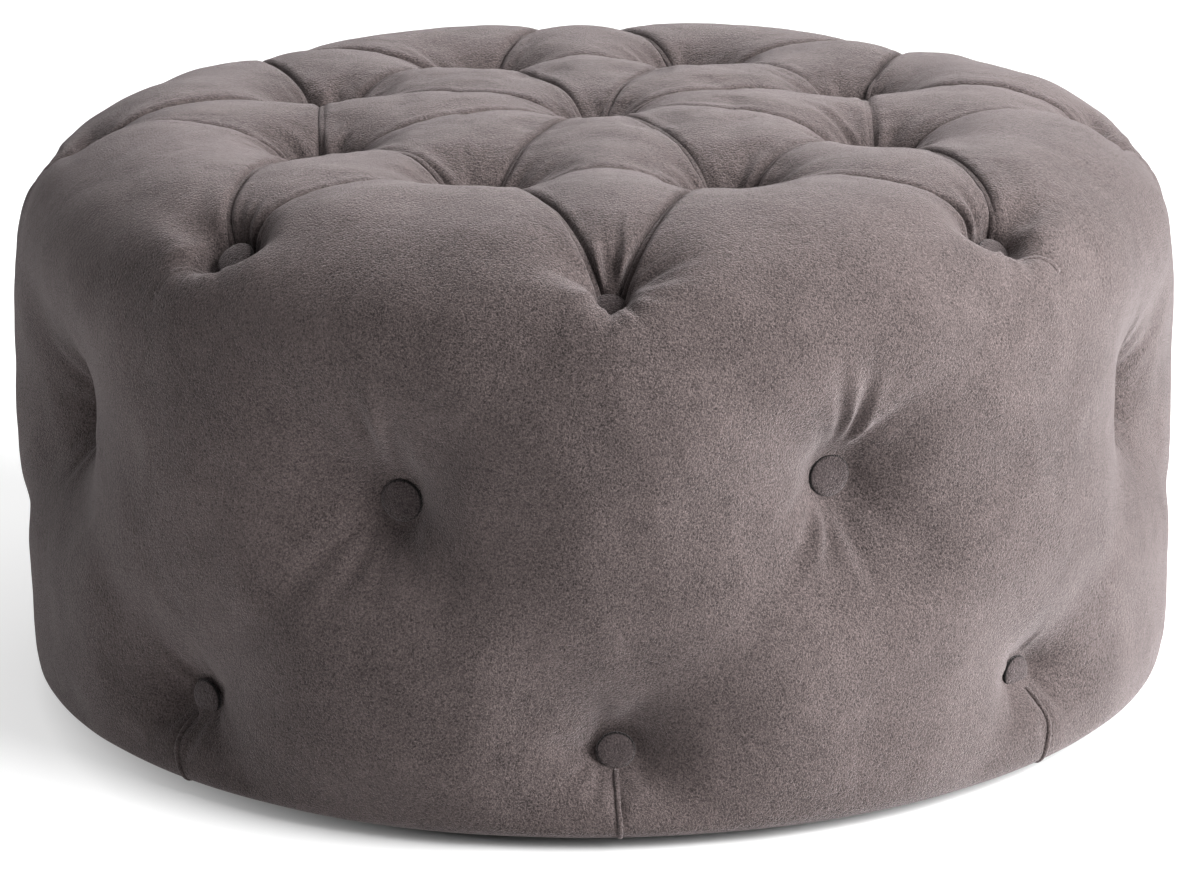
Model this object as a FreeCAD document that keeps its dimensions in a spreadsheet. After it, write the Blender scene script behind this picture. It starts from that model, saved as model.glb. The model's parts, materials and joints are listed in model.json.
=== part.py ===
"""Round deep-buttoned footstool: a drum-shaped pouffe covered in velvet.

Lengths are in millimetres.  The origin lies on the floor under the middle of
the stool, with +Z up.  Angles round the stool are measured from +X, and the
front of the stool faces -Y.
"""
import FreeCAD, Part
import math
import os
import Sketcher
from FreeCAD import Placement, Rotation, Vector

# Driving sizes: name, value, what it is
SIZES = [
    ("cushion_radius", 400, "widest radius of the velvet side"),
    ("crown_height", 402, "height of the puffed top above the floor"),
    ("rim_round", 125, "round between the top and the side"),
    ("rim_bands", 4, "straight bands that the round is made of"),
    ("hem_height", 45, "height below which the side draws in"),
    ("hem_draw_in", 6, "how far the side draws in at its lower edge"),
    ("glide_height", 10, "glide foot under the dust cover"),
    ("glide_radius", 15, "radius of a glide foot"),
    ("glide_inset", 33, "from the edge of the base board to a glide"),
    ("glide_nail_length", 16, "nail above the glide foot"),
    ("glide_nail_radius", 1.8, "radius of the moulded-in nail"),
    ("glide_nail_facets", 6, "flats round the nail"),
    ("glide_count", 4, "number of glides"),
    ("dust_cloth", 1, "thickness of the dust cover"),
    ("dust_cover_inset", 11, "from the edge of the base board to the dust cover"),
    ("hem_thickness", 3, "turned-under edge of the velvet cover"),
    ("hem_width", 58, "velvet turned in under the base board"),
    ("base_edge_padding", 17, "wadding round the edge of the base board"),
    ("base_board_thickness", 18, "plywood of the base board"),
    ("side_wadding", 60, "velvet and wadding of the side, where it is widest"),
    ("top_wadding", 67, "velvet and wadding of the top, where it is highest"),
    ("side_foam", 26, "thickness of the side foam"),
    ("top_foam", 17, "thickness of the top foam"),
    ("wall_thickness", 3, "fibreboard wrapped round the carcass"),
    ("top_board_thickness", 15, "plywood of the top board"),
    ("post_width", 45, "square section of a post"),
    ("post_inset", 27, "from the edge of the top board to a post's middle"),
    ("post_count", 4, "number of posts"),
    ("fit_gap", 0.3, "clearance between curved faces that meet"),
    ("button_radius", 11, "radius of a covered button"),
    ("button_edge", 3.5, "height of the straight edge of a button"),
    ("button_crown", 7, "radius of the flat crown of a button"),
    ("button_thickness", 8, "whole thickness of a button"),
    ("button_facets", 10, "flats round a button"),
    ("row_count", 8, "buttons in each full row"),
    ("centre_sink", 30, "seat of the middle button below the crown"),
    ("ring_radius", 205, "radius of the inner ring of buttons"),
    ("ring_sink", 57, "seats of the inner ring below the crown"),
    ("rim_inset", 53, "seats of the rim row inside the side"),
    ("rim_sink", 64, "seats of the rim row below the crown"),
    ("rim_tilt", 50, "lean of the rim buttons above the level"),
    ("middle_inset", 54, "seats of the middle row inside the side"),
    ("middle_height", 218, "height of the middle row"),
    ("lower_inset", 38, "seats of the lower row inside the side"),
    ("lower_height", 62, "height of the lower row"),
    ("well_margin", 2, "floor of a well round its button"),
    ("well_facets", 8, "flats round a well"),
    ("well_reach", 80, "how far a well is cut outwards from its floor"),
    ("centre_flare", 70, "widening of the middle well over its reach"),
    ("ring_flare", 63, "widening of a ring well over its reach"),
    ("rim_flare", 96, "widening of a rim well over its reach"),
    ("middle_flare", 70, "widening of a middle well over its reach"),
    ("lower_flare", 64, "widening of a lower well over its reach"),
    ("twine_radius", 1.5, "radius of the button twine"),
    ("twine_facets", 6, "flats round the twine and its drilled holes"),
    ("slit_corners", 3, "corners of a needle slit"),
    ("slit_radius", 3.4, "corner radius of a three-cornered needle slit"),
    ("drill_radius", 4, "radius of a twine hole in the top board"),
    ("toggle_length", 16, "length of a tie-off toggle"),
    ("toggle_width", 8, "width of a tie-off toggle"),
    ("toggle_thickness", 4, "thickness of a tie-off toggle"),
    ("crease_drop", 7, "depth of a sewn crease half way along it"),
    ("spoke_middle", 95, "radius where the creases of the star are highest"),
    ("star_drop", 17, "depth of a crease at the middle button"),
    ("ring_drop", 21, "depth of a crease at the inner ring of buttons"),
    ("rim_drop", 50, "depth of a crease at the rim buttons"),
    ("rim_crease_inset", 48, "end of a crease inside the side"),
    ("rim_overrun", 45, "how far a crease runs on past a rim button"),
    ("pleat_depth", 4, "depth of the pleat under a lower button"),
    ("pleat_width", 12, "width of the pleat under a lower button"),
]

# Flank of a sewn crease: distance from the stitch line and rise above it
CREASE_FLANK = ((0, 0), (22, 11.5), (96, 36))

# Heights that follow from the driving sizes, from the floor upwards
DUST_BOTTOM = "sizes.glide_height"
HEM_BOTTOM = f"({DUST_BOTTOM} + sizes.dust_cloth)"
BASE_BOTTOM = f"({HEM_BOTTOM} + sizes.hem_thickness)"
BASE_TOP = f"({BASE_BOTTOM} + sizes.base_board_thickness)"
FOAM_TOP = "(sizes.crown_height - sizes.top_wadding)"
BOARD_TOP = f"({FOAM_TOP} - sizes.top_foam)"
BOARD_BOTTOM = f"({BOARD_TOP} - sizes.top_board_thickness)"

# Radii that follow from the driving sizes, from the velvet inwards
BASE_RADIUS = "(sizes.cushion_radius - sizes.base_edge_padding)"
COVER_INNER = "(sizes.cushion_radius - sizes.side_wadding)"
FOAM_OUTER = f"({COVER_INNER} - sizes.fit_gap)"
FOAM_INNER = f"({FOAM_OUTER} - sizes.side_foam)"
WALL_OUTER = f"({FOAM_INNER} - sizes.fit_gap)"
WALL_INNER = f"({WALL_OUTER} - sizes.wall_thickness)"
BOARD_RADIUS = f"({WALL_INNER} - sizes.fit_gap)"
TOGGLE_FACE = f"({WALL_INNER} - sizes.fit_gap)"
GLIDE_CIRCLE = f"({BASE_RADIUS} - sizes.glide_inset)"

# Rows of buttons: radius and height of the seats, lean above the level and
# angle of the first button
HALF_STEP = "(180 / sizes.row_count)"
ROWS = {
    "centre": ("0", "(sizes.crown_height - sizes.centre_sink)", "90", "0"),
    "ring": ("sizes.ring_radius", "(sizes.crown_height - sizes.ring_sink)", "90", HALF_STEP),
    "rim": ("(sizes.cushion_radius - sizes.rim_inset)",
            "(sizes.crown_height - sizes.rim_sink)", "sizes.rim_tilt", "0"),
    "middle": ("(sizes.cushion_radius - sizes.middle_inset)", "sizes.middle_height",
               "0", HALF_STEP),
    "lower": ("(sizes.cushion_radius - sizes.lower_inset)", "sizes.lower_height", "0", "0"),
}
TOP_ROWS = ("centre", "ring")
SIDE_ROWS = ("rim", "middle", "lower")

doc = FreeCAD.newDocument("footstool")
sheet = doc.addObject("Spreadsheet::Sheet", "sizes")


def write_sheet():
    """Fill the spreadsheet with the driving sizes."""
    for number, (name, number_value, _) in enumerate(SIZES, start=1):
        sheet.set(f"A{number}", name)
        sheet.set(f"B{number}", str(number_value))
        sheet.setAlias(f"B{number}", name)
    doc.recompute()


write_sheet()


def value(formula):
    """Number that a formula on the sheet gives."""
    return float(sheet.evalExpression(formula.replace("sizes.", "")))


def size(name):
    return float(sheet.get(name))


def around(radius, turn, height):
    """Point at a radius, an angle round the stool and a height."""
    angle = math.radians(turn)
    return Vector(radius * math.cos(angle), radius * math.sin(angle), height)


def plane(body, role):
    return next(item for item in body.Origin.OriginFeatures if item.Role == role)


def new_body(label):
    body = doc.addObject("PartDesign::Body", label)
    body.AllowCompound = True
    return body


def outline(body, name, points):
    """Closed sketch on the XZ plane, each corner bound to two formulas."""
    sketch = body.newObject("Sketcher::SketchObject", name)
    sketch.AttachmentSupport = (plane(body, "XZ_Plane"), [""])
    sketch.MapMode = "FlatFace"
    corners = [Vector(value(x), value(y), 0) for x, y in points]
    for start, end in zip(corners, corners[1:] + corners[:1]):
        sketch.addGeometry(Part.LineSegment(start, end), False)
    for index in range(len(points)):
        following = (index + 1) % len(points)
        sketch.addConstraint(Sketcher.Constraint("Coincident", index, 2, following, 1))
    for index, (x, y) in enumerate(points):
        for kind, formula in (("DistanceX", x), ("DistanceY", y)):
            number = sketch.addConstraint(
                Sketcher.Constraint(kind, -1, 1, index, 1, value(formula)))
            sketch.setExpression(f"Constraints[{number}]", formula)
    return sketch


def revolve(body, sketch):
    """Turn a sketch round the stool's upright axis."""
    feature = body.newObject("PartDesign::Revolution", sketch.Name + "_turned")
    feature.Profile = sketch
    feature.ReferenceAxis = (plane(body, "Z_Axis"), [""])
    feature.Angle = 360
    return feature


def turned(label, points):
    """Body whose profile is turned round the stool's upright axis."""
    body = new_body(label)
    revolve(body, outline(body, label + "_profile", points))
    return body


def in_row(thing, seat, turn, inwards="0"):
    """Stand a thing on its seat, its own Z axis pointing out of the stool.

    A seat is a radius, a height and a lean above the level.  The thing is
    set back by inwards along its axis.
    """
    radius, height, tilt = seat[:3]
    flat = f"({radius} - ({inwards}) * cos({tilt}))"
    thing.setExpression(
        "Placement",
        f"placement(vector({flat} * cos({turn}); {flat} * sin({turn}); "
        f"{height} - ({inwards}) * sin({tilt})); "
        f"rotation({turn}; 90 - {tilt}; 0))")


def row_places(row):
    """Angle formula of each button of a row."""
    first = ROWS[row][3]
    return [f"({first} + {step} * 360 / sizes.row_count)" for step in row_steps(row)]


def group(label, members):
    """One node that holds several separate solids."""
    compound = doc.addObject("Part::Compound", label)
    compound.Links = members
    return compound


def cut(label, base, tools):
    """Base less a group of tools."""
    result = doc.addObject("Part::Cut", label)
    result.Base = base
    result.Tool = tools[0] if len(tools) == 1 else group(label + "_tools", tools)
    return result


# Carcass: two plywood boards, four posts and the fibreboard wall


def make_base_board():
    board = turned("base_board_blank", [
        ("0", BASE_BOTTOM),
        (BASE_RADIUS, BASE_BOTTOM),
        (BASE_RADIUS, BASE_TOP),
        ("0", BASE_TOP),
    ])
    return cut("base_board", board, glide_nail_holes("base_board"))


def make_top_board():
    board = turned("top_board_blank", [
        ("0", BOARD_BOTTOM),
        (BOARD_RADIUS, BOARD_BOTTOM),
        (BOARD_RADIUS, BOARD_TOP),
        ("0", BOARD_TOP),
    ])
    return cut("top_board", board, row_prisms("top_board", TOP_ROWS, "drill_radius", "twine_facets"))


def make_post(number):
    """Square post that stands between the boards."""
    post = doc.addObject("Part::Box", f"post_{number}")
    turn = f"({HALF_STEP} / 2 + {number - 1} * 360 / sizes.post_count)"
    post.setExpression("Length", "sizes.post_width")
    post.setExpression("Width", "sizes.post_width")
    post.setExpression("Height", f"{BOARD_BOTTOM} - {BASE_TOP}")
    near = f"({BOARD_RADIUS} - sizes.post_inset - sizes.post_width / 2)"
    half = "(sizes.post_width / 2)"
    post.setExpression(
        "Placement",
        f"placement(vector({near} * cos({turn}) + {half} * sin({turn}); "
        f"{near} * sin({turn}) - {half} * cos({turn}); {BASE_TOP}); rotation({turn}; 0; 0))")
    return post


def make_drum_wall():
    wall = turned("drum_wall_blank", [
        (WALL_INNER, BASE_TOP),
        (WALL_OUTER, BASE_TOP),
        (WALL_OUTER, BOARD_TOP),
        (WALL_INNER, BOARD_TOP),
    ])
    return cut("drum_wall", wall, row_prisms("drum_wall", SIDE_ROWS, "slit_radius", "slit_corners"))


# Upholstery: two foams and the tufted velvet cover


def make_foam_side():
    sleeve = turned("foam_side_blank", [
        (FOAM_INNER, BASE_TOP),
        (FOAM_OUTER, BASE_TOP),
        (FOAM_OUTER, BOARD_TOP),
        (FOAM_INNER, BOARD_TOP),
    ])
    return cut("foam_side", sleeve, row_prisms("foam_side", SIDE_ROWS, "slit_radius", "slit_corners"))


def make_foam_top():
    pad = turned("foam_top_blank", [
        ("0", BOARD_TOP),
        (FOAM_OUTER, BOARD_TOP),
        (FOAM_OUTER, FOAM_TOP),
        ("0", FOAM_TOP),
    ])
    rows = TOP_ROWS + ("rim",)
    return cut("foam_top", pad, row_prisms("foam_top", rows, "slit_radius", "slit_corners"))


def cover_profile():
    """Half section of the padded cover: crown, round rim, side and hem."""
    centre_x = "(sizes.cushion_radius - sizes.rim_round)"
    centre_z = "(sizes.crown_height - sizes.rim_round)"
    steps = int(size("rim_bands"))
    points = [("0", "sizes.crown_height")]
    for step in range(steps + 1):
        angle = 90 - 90 * step / steps
        points.append((f"{centre_x} + sizes.rim_round * cos({angle})",
                       f"{centre_z} + sizes.rim_round * sin({angle})"))
    board_edge = f"{BASE_RADIUS} + sizes.fit_gap"
    hem_edge = f"{BASE_RADIUS} - sizes.hem_width"
    points += [
        ("sizes.cushion_radius", "sizes.hem_height"),
        ("sizes.cushion_radius - sizes.hem_draw_in", HEM_BOTTOM),
        (hem_edge, HEM_BOTTOM),
        (hem_edge, BASE_BOTTOM),
        (board_edge, BASE_BOTTOM),
        (board_edge, f"{BASE_TOP} + sizes.fit_gap"),
        (COVER_INNER, f"{BASE_TOP} + sizes.fit_gap"),
        (COVER_INNER, FOAM_TOP),
        ("0", FOAM_TOP),
    ]
    return points


def flat_faced(lower, upper):
    """Solid between two rings of corners, all of its faces flat."""
    count = len(lower)
    faces = [Part.Face(Part.makePolygon(ring + ring[:1])) for ring in (lower, upper)]
    for index in range(count):
        following = (index + 1) % count
        corners = [lower[index], lower[following], upper[following], upper[index]]
        faces.append(Part.Face(Part.makePolygon(corners + corners[:1])))
    solid = Part.Solid(Part.Shell(faces))
    if solid.Volume < 0:
        solid.reverse()
    return solid


def regular_ring(radius, height, count):
    return [around(radius, 360 * (index + 0.5) / count, height) for index in range(count)]


def seat_place(row, step):
    """Placement of a button's seat, its Z axis pointing out of the stool."""
    radius, height, tilt, first = (value(formula) for formula in ROWS[row])
    turn = first + step * 360 / size("row_count")
    return Placement(around(radius, turn, height), Rotation(turn, 90 - tilt, 0))


def row_steps(row):
    return range(1 if row == "centre" else int(size("row_count")))


def wells():
    """Funnel-shaped wells that the buttons are pulled down into."""
    count = int(size("well_facets"))
    floor = size("button_radius") + size("well_margin")
    shapes = []
    for row in ROWS:
        well = flat_faced(regular_ring(floor, 0, count),
                          regular_ring(floor + size(row + "_flare"), size("well_reach"), count))
        for step in row_steps(row):
            placed = well.copy()
            placed.Placement = seat_place(row, step)
            shapes.append(placed)
    return shapes


def crease(middle, end, overrun=0):
    """Half of a sewn crease, sinking from its middle to a button and past it."""
    run = end - middle
    run += run * (overrun / run.Length)
    across = Vector(-run.y, run.x, 0).normalize()
    above = size("rim_round")
    right = [middle + across * out + Vector(0, 0, rise) for out, rise in CREASE_FLANK]
    left = [middle - across * out + Vector(0, 0, rise) for out, rise in CREASE_FLANK[1:]]
    edge = CREASE_FLANK[-1][0]
    top = [middle + across * side + Vector(0, 0, above) for side in (edge, -edge)]
    corners = right + top + left[::-1]
    return Part.Face(Part.makePolygon(corners + corners[:1])).extrude(run)


def creases():
    """Star, octagon and zigzag of creases over the top of the stool."""
    crown = size("crown_height")
    step = 360 / size("row_count")
    middle_height = crown - size("crease_drop")
    hub = Vector(0, 0, crown - size("star_drop"))
    rim_end = size("cushion_radius") - size("rim_crease_inset")
    shapes = []
    for number in row_steps("ring"):
        turn = (number + 0.5) * step
        here = around(size("ring_radius"), turn, crown - size("ring_drop"))
        beside = around(size("ring_radius"), turn + step, crown - size("ring_drop"))
        spoke = around(size("spoke_middle"), turn, middle_height)
        shapes += [crease(spoke, hub), crease(spoke, here)]
        ends = [(here, beside, 0)]
        for side in (-step / 2, step / 2):
            rim = around(rim_end, turn + side, crown - size("rim_drop"))
            ends.append((here, rim, size("rim_overrun")))
        for start, end, overrun in ends:
            middle = (start + end) * 0.5
            middle.z = middle_height
            shapes += [crease(middle, start), crease(middle, end, overrun)]
    return shapes


def pleats():
    """Upright pleat from each lower button down to the hem."""
    half = size("pleat_width") / 2
    deep = size("cushion_radius") - size("hem_draw_in") - size("pleat_depth")
    outer = size("cushion_radius") + half
    top = size("lower_height")
    shapes = []
    for step in row_steps("lower"):
        turn = step * 360 / size("row_count")
        corners = [Vector(deep, 0, 0), Vector(outer, half, 0), Vector(outer, -half, 0)]
        wedge = Part.Face(Part.makePolygon(corners + corners[:1])).extrude(Vector(0, 0, top))
        wedge.Placement = Placement(Vector(0, 0, 0), Rotation(turn, 0, 0))
        shapes.append(wedge)
    return shapes


def make_velvet_cover():
    """Velvet with its wadding, tufted outside and plain where it meets the foam."""
    form = turned("cover_form", cover_profile())
    tufts = doc.addObject("Part::Feature", "tufts")
    tufts.Shape = Part.Compound(wells() + creases() + pleats())
    tufted = doc.addObject("Part::Cut", "tufted_cover")
    tufted.Base = form
    tufted.Tool = tufts
    slits = row_prisms("velvet_cover", ROWS, "slit_radius", "slit_corners")
    return cut("velvet_cover", tufted, slits + glide_nail_holes("velvet_cover"))


def make_dust_cover():
    edge = f"{BASE_RADIUS} - sizes.dust_cover_inset"
    cloth = turned("dust_cover_blank", [
        ("0", DUST_BOTTOM),
        (edge, DUST_BOTTOM),
        (edge, HEM_BOTTOM),
        ("0", HEM_BOTTOM),
    ])
    return cut("dust_cover", cloth, glide_nail_holes("dust_cover"))


# Buttons, twine and toggles


def twine_length(row):
    """Length of twine between a button and its toggle."""
    radius, height, tilt, _ = ROWS[row]
    if row in TOP_ROWS:
        return f"({height} - {BOARD_BOTTOM})"
    return f"(({radius} - {TOGGLE_FACE}) / cos({tilt}) - sizes.twine_radius * tan({tilt}))"


def row_prisms(owner, rows, radius, corners):
    """Straight holes through a piece, one along the twine of each button."""
    prisms = []
    for row in rows:
        for number, turn in enumerate(row_places(row), start=1):
            prism = doc.addObject("Part::Prism", f"{owner}_{row}_hole_{number}")
            prism.Polygon = int(size(corners))
            prism.setExpression("Circumradius", f"sizes.{radius}")
            prism.setExpression("Height", f"2 * {twine_length(row)}")
            in_row(prism, ROWS[row], turn, f"1.5 * {twine_length(row)}")
            prisms.append(prism)
    return prisms


def make_twines(row):
    """Twine from each button of a row to the toggle that holds it."""
    twines = []
    for number, turn in enumerate(row_places(row), start=1):
        twine = doc.addObject("Part::Prism", f"{row}_twine_{number}")
        twine.Polygon = int(size("twine_facets"))
        twine.setExpression("Circumradius", "sizes.twine_radius")
        twine.setExpression("Height", twine_length(row))
        in_row(twine, ROWS[row], turn, twine_length(row))
        twines.append(twine)
    return group(f"{row}_twines", twines)


def make_toggles(row):
    """Flat bars behind the boards that the twine is tied to."""
    radius, height, tilt, _ = ROWS[row]
    toggles = []
    for number, turn in enumerate(row_places(row), start=1):
        bar = doc.addObject("Part::Box", f"{row}_toggle_{number}")
        if row in SIDE_ROWS:
            drop = f"({radius} - {TOGGLE_FACE}) * tan({tilt})"
            sizes = ("sizes.toggle_thickness", "sizes.toggle_width", "sizes.toggle_length")
            near = f"({TOGGLE_FACE} - sizes.toggle_thickness)"
            bottom = f"{height} - {drop} - sizes.toggle_length / 2"
        else:
            sizes = ("sizes.toggle_length", "sizes.toggle_width", "sizes.toggle_thickness")
            near = f"({radius} - sizes.toggle_length / 2)"
            bottom = f"{BOARD_BOTTOM} - sizes.toggle_thickness"
        for side, formula in zip(("Length", "Width", "Height"), sizes):
            bar.setExpression(side, formula)
        half = "(sizes.toggle_width / 2)"
        bar.setExpression(
            "Placement",
            f"placement(vector({near} * cos({turn}) + {half} * sin({turn}); "
            f"{near} * sin({turn}) - {half} * cos({turn}); {bottom}); rotation({turn}; 0; 0))")
        toggles.append(bar)
    return group(f"{row}_toggles", toggles)


def make_buttons(row):
    """Covered buttons: a straight edge and a low crown."""
    count = int(size("button_facets"))
    edge = regular_ring(size("button_radius"), 0, count)
    shoulder = regular_ring(size("button_radius"), size("button_edge"), count)
    crown = regular_ring(size("button_crown"), size("button_thickness"), count)
    button = flat_faced(edge, shoulder).fuse(flat_faced(shoulder, crown))
    copies = []
    for step in row_steps(row):
        placed = button.copy()
        placed.Placement = seat_place(row, step)
        copies.append(placed)
    buttons = doc.addObject("Part::Feature", f"{row}_buttons")
    buttons.Shape = Part.Compound(copies)
    return buttons


# Glides under the hem


def glide_turns():
    return [f"(({step} + 0.5) * 360 / sizes.glide_count)"
            for step in range(int(size("glide_count")))]


def glide_nail_holes(owner):
    """Holes for the nails of the glides."""
    holes = []
    for number, turn in enumerate(glide_turns(), start=1):
        hole = doc.addObject("Part::Prism", f"{owner}_nail_hole_{number}")
        hole.Polygon = int(size("glide_nail_facets"))
        hole.setExpression("Circumradius", "sizes.glide_nail_radius + sizes.fit_gap")
        hole.setExpression("Height", "sizes.glide_nail_length + sizes.fit_gap")
        in_row(hole, (GLIDE_CIRCLE, DUST_BOTTOM, "90"), turn)
        holes.append(hole)
    return holes


def make_glides():
    """Nail-on glides: a foot and the nail moulded into it."""
    glides = []
    for number, turn in enumerate(glide_turns(), start=1):
        foot = doc.addObject("Part::Cylinder", f"glide_foot_{number}")
        foot.setExpression("Radius", "sizes.glide_radius")
        foot.setExpression("Height", "sizes.glide_height")
        in_row(foot, (GLIDE_CIRCLE, "0", "90"), turn)
        nail = doc.addObject("Part::Prism", f"glide_nail_{number}")
        nail.Polygon = int(size("glide_nail_facets"))
        nail.setExpression("Circumradius", "sizes.glide_nail_radius")
        nail.setExpression("Height", "sizes.glide_nail_length")
        in_row(nail, (GLIDE_CIRCLE, DUST_BOTTOM, "90"), turn)
        glide = doc.addObject("Part::Fuse", f"glide_{number}")
        glide.Base = foot
        glide.Tool = nail
        glides.append(glide)
    return group("glides", glides)


def make_parts():
    parts = [make_base_board(), make_top_board()]
    parts += [make_post(number) for number in range(1, int(size("post_count")) + 1)]
    parts += [make_drum_wall(), make_foam_side(), make_foam_top()]
    parts += [make_velvet_cover(), make_dust_cover(), make_glides()]
    for row in ROWS:
        parts += [make_buttons(row), make_twines(row), make_toggles(row)]
    return parts


def check(parts):
    """Stop if any object failed or any sub-part has no sound shape."""
    doc.recompute()
    for item in doc.Objects:
        if "Invalid" in item.State or "Error" in item.State:
            raise RuntimeError(f"{item.Label} did not build: {item.State}")
    for part in parts:
        if part.Shape.isNull() or not part.Shape.isValid():
            raise RuntimeError(f"{part.Label} has no valid shape")


parts = make_parts()
check(parts)
os.makedirs("parts", exist_ok=True)
for part in parts:
    part.Shape.exportStep(f"parts/{part.Label}.step")
    print(part.Label, len(part.Shape.Solids), round(part.Shape.Volume / 1000, 1), "cm3")
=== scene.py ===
"""Looks of the round buttoned footstool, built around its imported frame.

Lengths in this file are in metres unless a name says otherwise.  The stool
stands on the floor at the origin, +Z up, and its front faces -Y.
"""

import json
import math
import random

import bmesh
import bpy
import numpy as np
from mathutils import Matrix, Vector

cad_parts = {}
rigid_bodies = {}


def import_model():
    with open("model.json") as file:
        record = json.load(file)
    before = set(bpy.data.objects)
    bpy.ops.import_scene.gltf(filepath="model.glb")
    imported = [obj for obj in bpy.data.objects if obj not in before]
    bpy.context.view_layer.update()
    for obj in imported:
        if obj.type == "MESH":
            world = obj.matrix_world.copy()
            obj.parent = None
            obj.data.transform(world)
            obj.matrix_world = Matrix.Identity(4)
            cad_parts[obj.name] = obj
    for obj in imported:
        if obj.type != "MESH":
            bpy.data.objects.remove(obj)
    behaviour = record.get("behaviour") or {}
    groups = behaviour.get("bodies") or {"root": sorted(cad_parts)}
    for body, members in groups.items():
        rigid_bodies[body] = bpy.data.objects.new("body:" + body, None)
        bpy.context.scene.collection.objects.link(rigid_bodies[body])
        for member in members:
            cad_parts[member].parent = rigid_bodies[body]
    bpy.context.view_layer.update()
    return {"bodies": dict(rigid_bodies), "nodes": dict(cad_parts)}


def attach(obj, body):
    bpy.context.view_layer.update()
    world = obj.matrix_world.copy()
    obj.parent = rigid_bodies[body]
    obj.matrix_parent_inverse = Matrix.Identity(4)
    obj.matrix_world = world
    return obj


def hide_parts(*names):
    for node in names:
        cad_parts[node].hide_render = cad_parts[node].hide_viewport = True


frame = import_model()

bl_info = {
    "name": "Buttoned footstool",
    "version": (1, 0, 0),
    "blender": (4, 5, 0),
    "location": "View3D > Sidebar > Footstool",
    "description": "Builds the velvet, buttons and finishes of a round footstool",
    "category": "Object",
}

BODY = sorted(frame["bodies"])[0]
MM = 0.001
ROWS = ("centre", "ring", "rim", "middle", "lower")
FULL_ROW = 8
# Angle between two buttons of a row, in degrees
STEP = 360 / FULL_ROW


# Materials


class Wire:
    """An output of a shader node; sums on it add Math nodes."""

    def __init__(self, finish, socket):
        self.finish = finish
        self.socket = socket

    def maths(self, operation, *values):
        return self.finish.add("ShaderNodeMath", {"operation": operation},
                               dict(enumerate((self,) + values)))

    def __add__(self, other):
        return self.maths("ADD", other)

    __radd__ = __add__

    def __sub__(self, other):
        return self.maths("SUBTRACT", other)

    def __rsub__(self, other):
        return self.maths("MULTIPLY", -1) + other

    def __mul__(self, other):
        return self.maths("MULTIPLY", other)

    def __truediv__(self, other):
        return self.maths("DIVIDE", other)

    def clamped(self, lowest, highest):
        return self.maths("MAXIMUM", lowest).maths("MINIMUM", highest)

    def above(self, edge, soft):
        """0 well under the edge, 1 well over it, with a soft step between."""
        return ((self - edge) * (0.5 / soft) + 0.5).clamped(0, 1)


class Finish:
    """A material of this stool, with its nodes."""

    def __init__(self, name):
        self.material = bpy.data.materials.new(name)
        self.material.use_nodes = True
        self.tree = self.material.node_tree
        self.tree.nodes.clear()
        self.place = self.add("ShaderNodeTexCoord", output="Object")

    def add(self, kind, settings=None, inputs=None, output=0):
        """Add a node with its settings and the values or wires of its sockets."""
        node = self.tree.nodes.new(kind)
        for name, setting in (settings or {}).items():
            if name == "stops":
                ramp = node.color_ramp
                while len(ramp.elements) < len(setting):
                    ramp.elements.new(0.5)
                for element, (position, colour) in zip(ramp.elements, setting):
                    element.position = position
                    element.color = tuple(colour) + (1,)
            else:
                setattr(node, name, setting)
        for name, value in (inputs or {}).items():
            if isinstance(value, Wire):
                self.tree.links.new(value.socket, node.inputs[name])
            else:
                node.inputs[name].default_value = value
        return Wire(self, node.outputs[output])

    def stretched(self, scale, turn=(0, 0, 0)):
        return self.add("ShaderNodeMapping", {},
                        {"Vector": self.place, "Scale": scale, "Rotation": turn})

    def noise(self, scale, detail=2, roughness=0.5, distortion=0, place=None):
        return self.add("ShaderNodeTexNoise", {},
                        {"Vector": place or self.place, "Scale": scale, "Detail": detail,
                         "Roughness": roughness, "Distortion": distortion})

    def wave(self, turns, place):
        """Even waves from 0 to 1 along a stretched place, so many a metre."""
        settings = {"wave_type": "BANDS", "bands_direction": "DIAGONAL"}
        return self.add("ShaderNodeTexWave", settings,
                        {"Vector": place, "Scale": turns * 0.314, "Distortion": 0})

    def mix(self, share, first, second):
        """Colour between two colours."""
        inputs = {0: share, 6: first, 7: second}
        return self.add("ShaderNodeMix", {"data_type": "RGBA"}, inputs, output=2)

    def tinted(self, colour, amount):
        """Colour made lighter or darker by an amount about 1."""
        grey = self.add("ShaderNodeCombineColor", {}, {0: amount, 1: amount, 2: amount})
        inputs = {0: 1.0, 6: colour, 7: grey}
        return self.add("ShaderNodeMix", {"data_type": "RGBA", "blend_type": "MULTIPLY"},
                        inputs, output=2)

    def bump(self, height, distance, strength=1.0, under=None):
        inputs = {"Height": height, "Distance": distance, "Strength": strength}
        if under is not None:
            inputs["Normal"] = under
        return self.add("ShaderNodeBump", {}, inputs)

    def done(self, colour, roughness, normal=None, **fixed):
        """Close the material with its shader; fixed values sit on the sockets."""
        inputs = {"Base Color": colour, "Roughness": roughness}
        if normal is not None:
            inputs["Normal"] = normal
        for name, value in fixed.items():
            inputs[name.replace("_", " ").title().replace("Ior", "IOR")] = value
        shader = self.add("ShaderNodeBsdfPrincipled", {}, inputs)
        output = self.tree.nodes.new("ShaderNodeOutputMaterial")
        self.tree.links.new(shader.socket, output.inputs["Surface"])
        return self.material


def rgb(red, green, blue):
    return (red, green, blue, 1.0)


# The tufted cover

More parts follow.
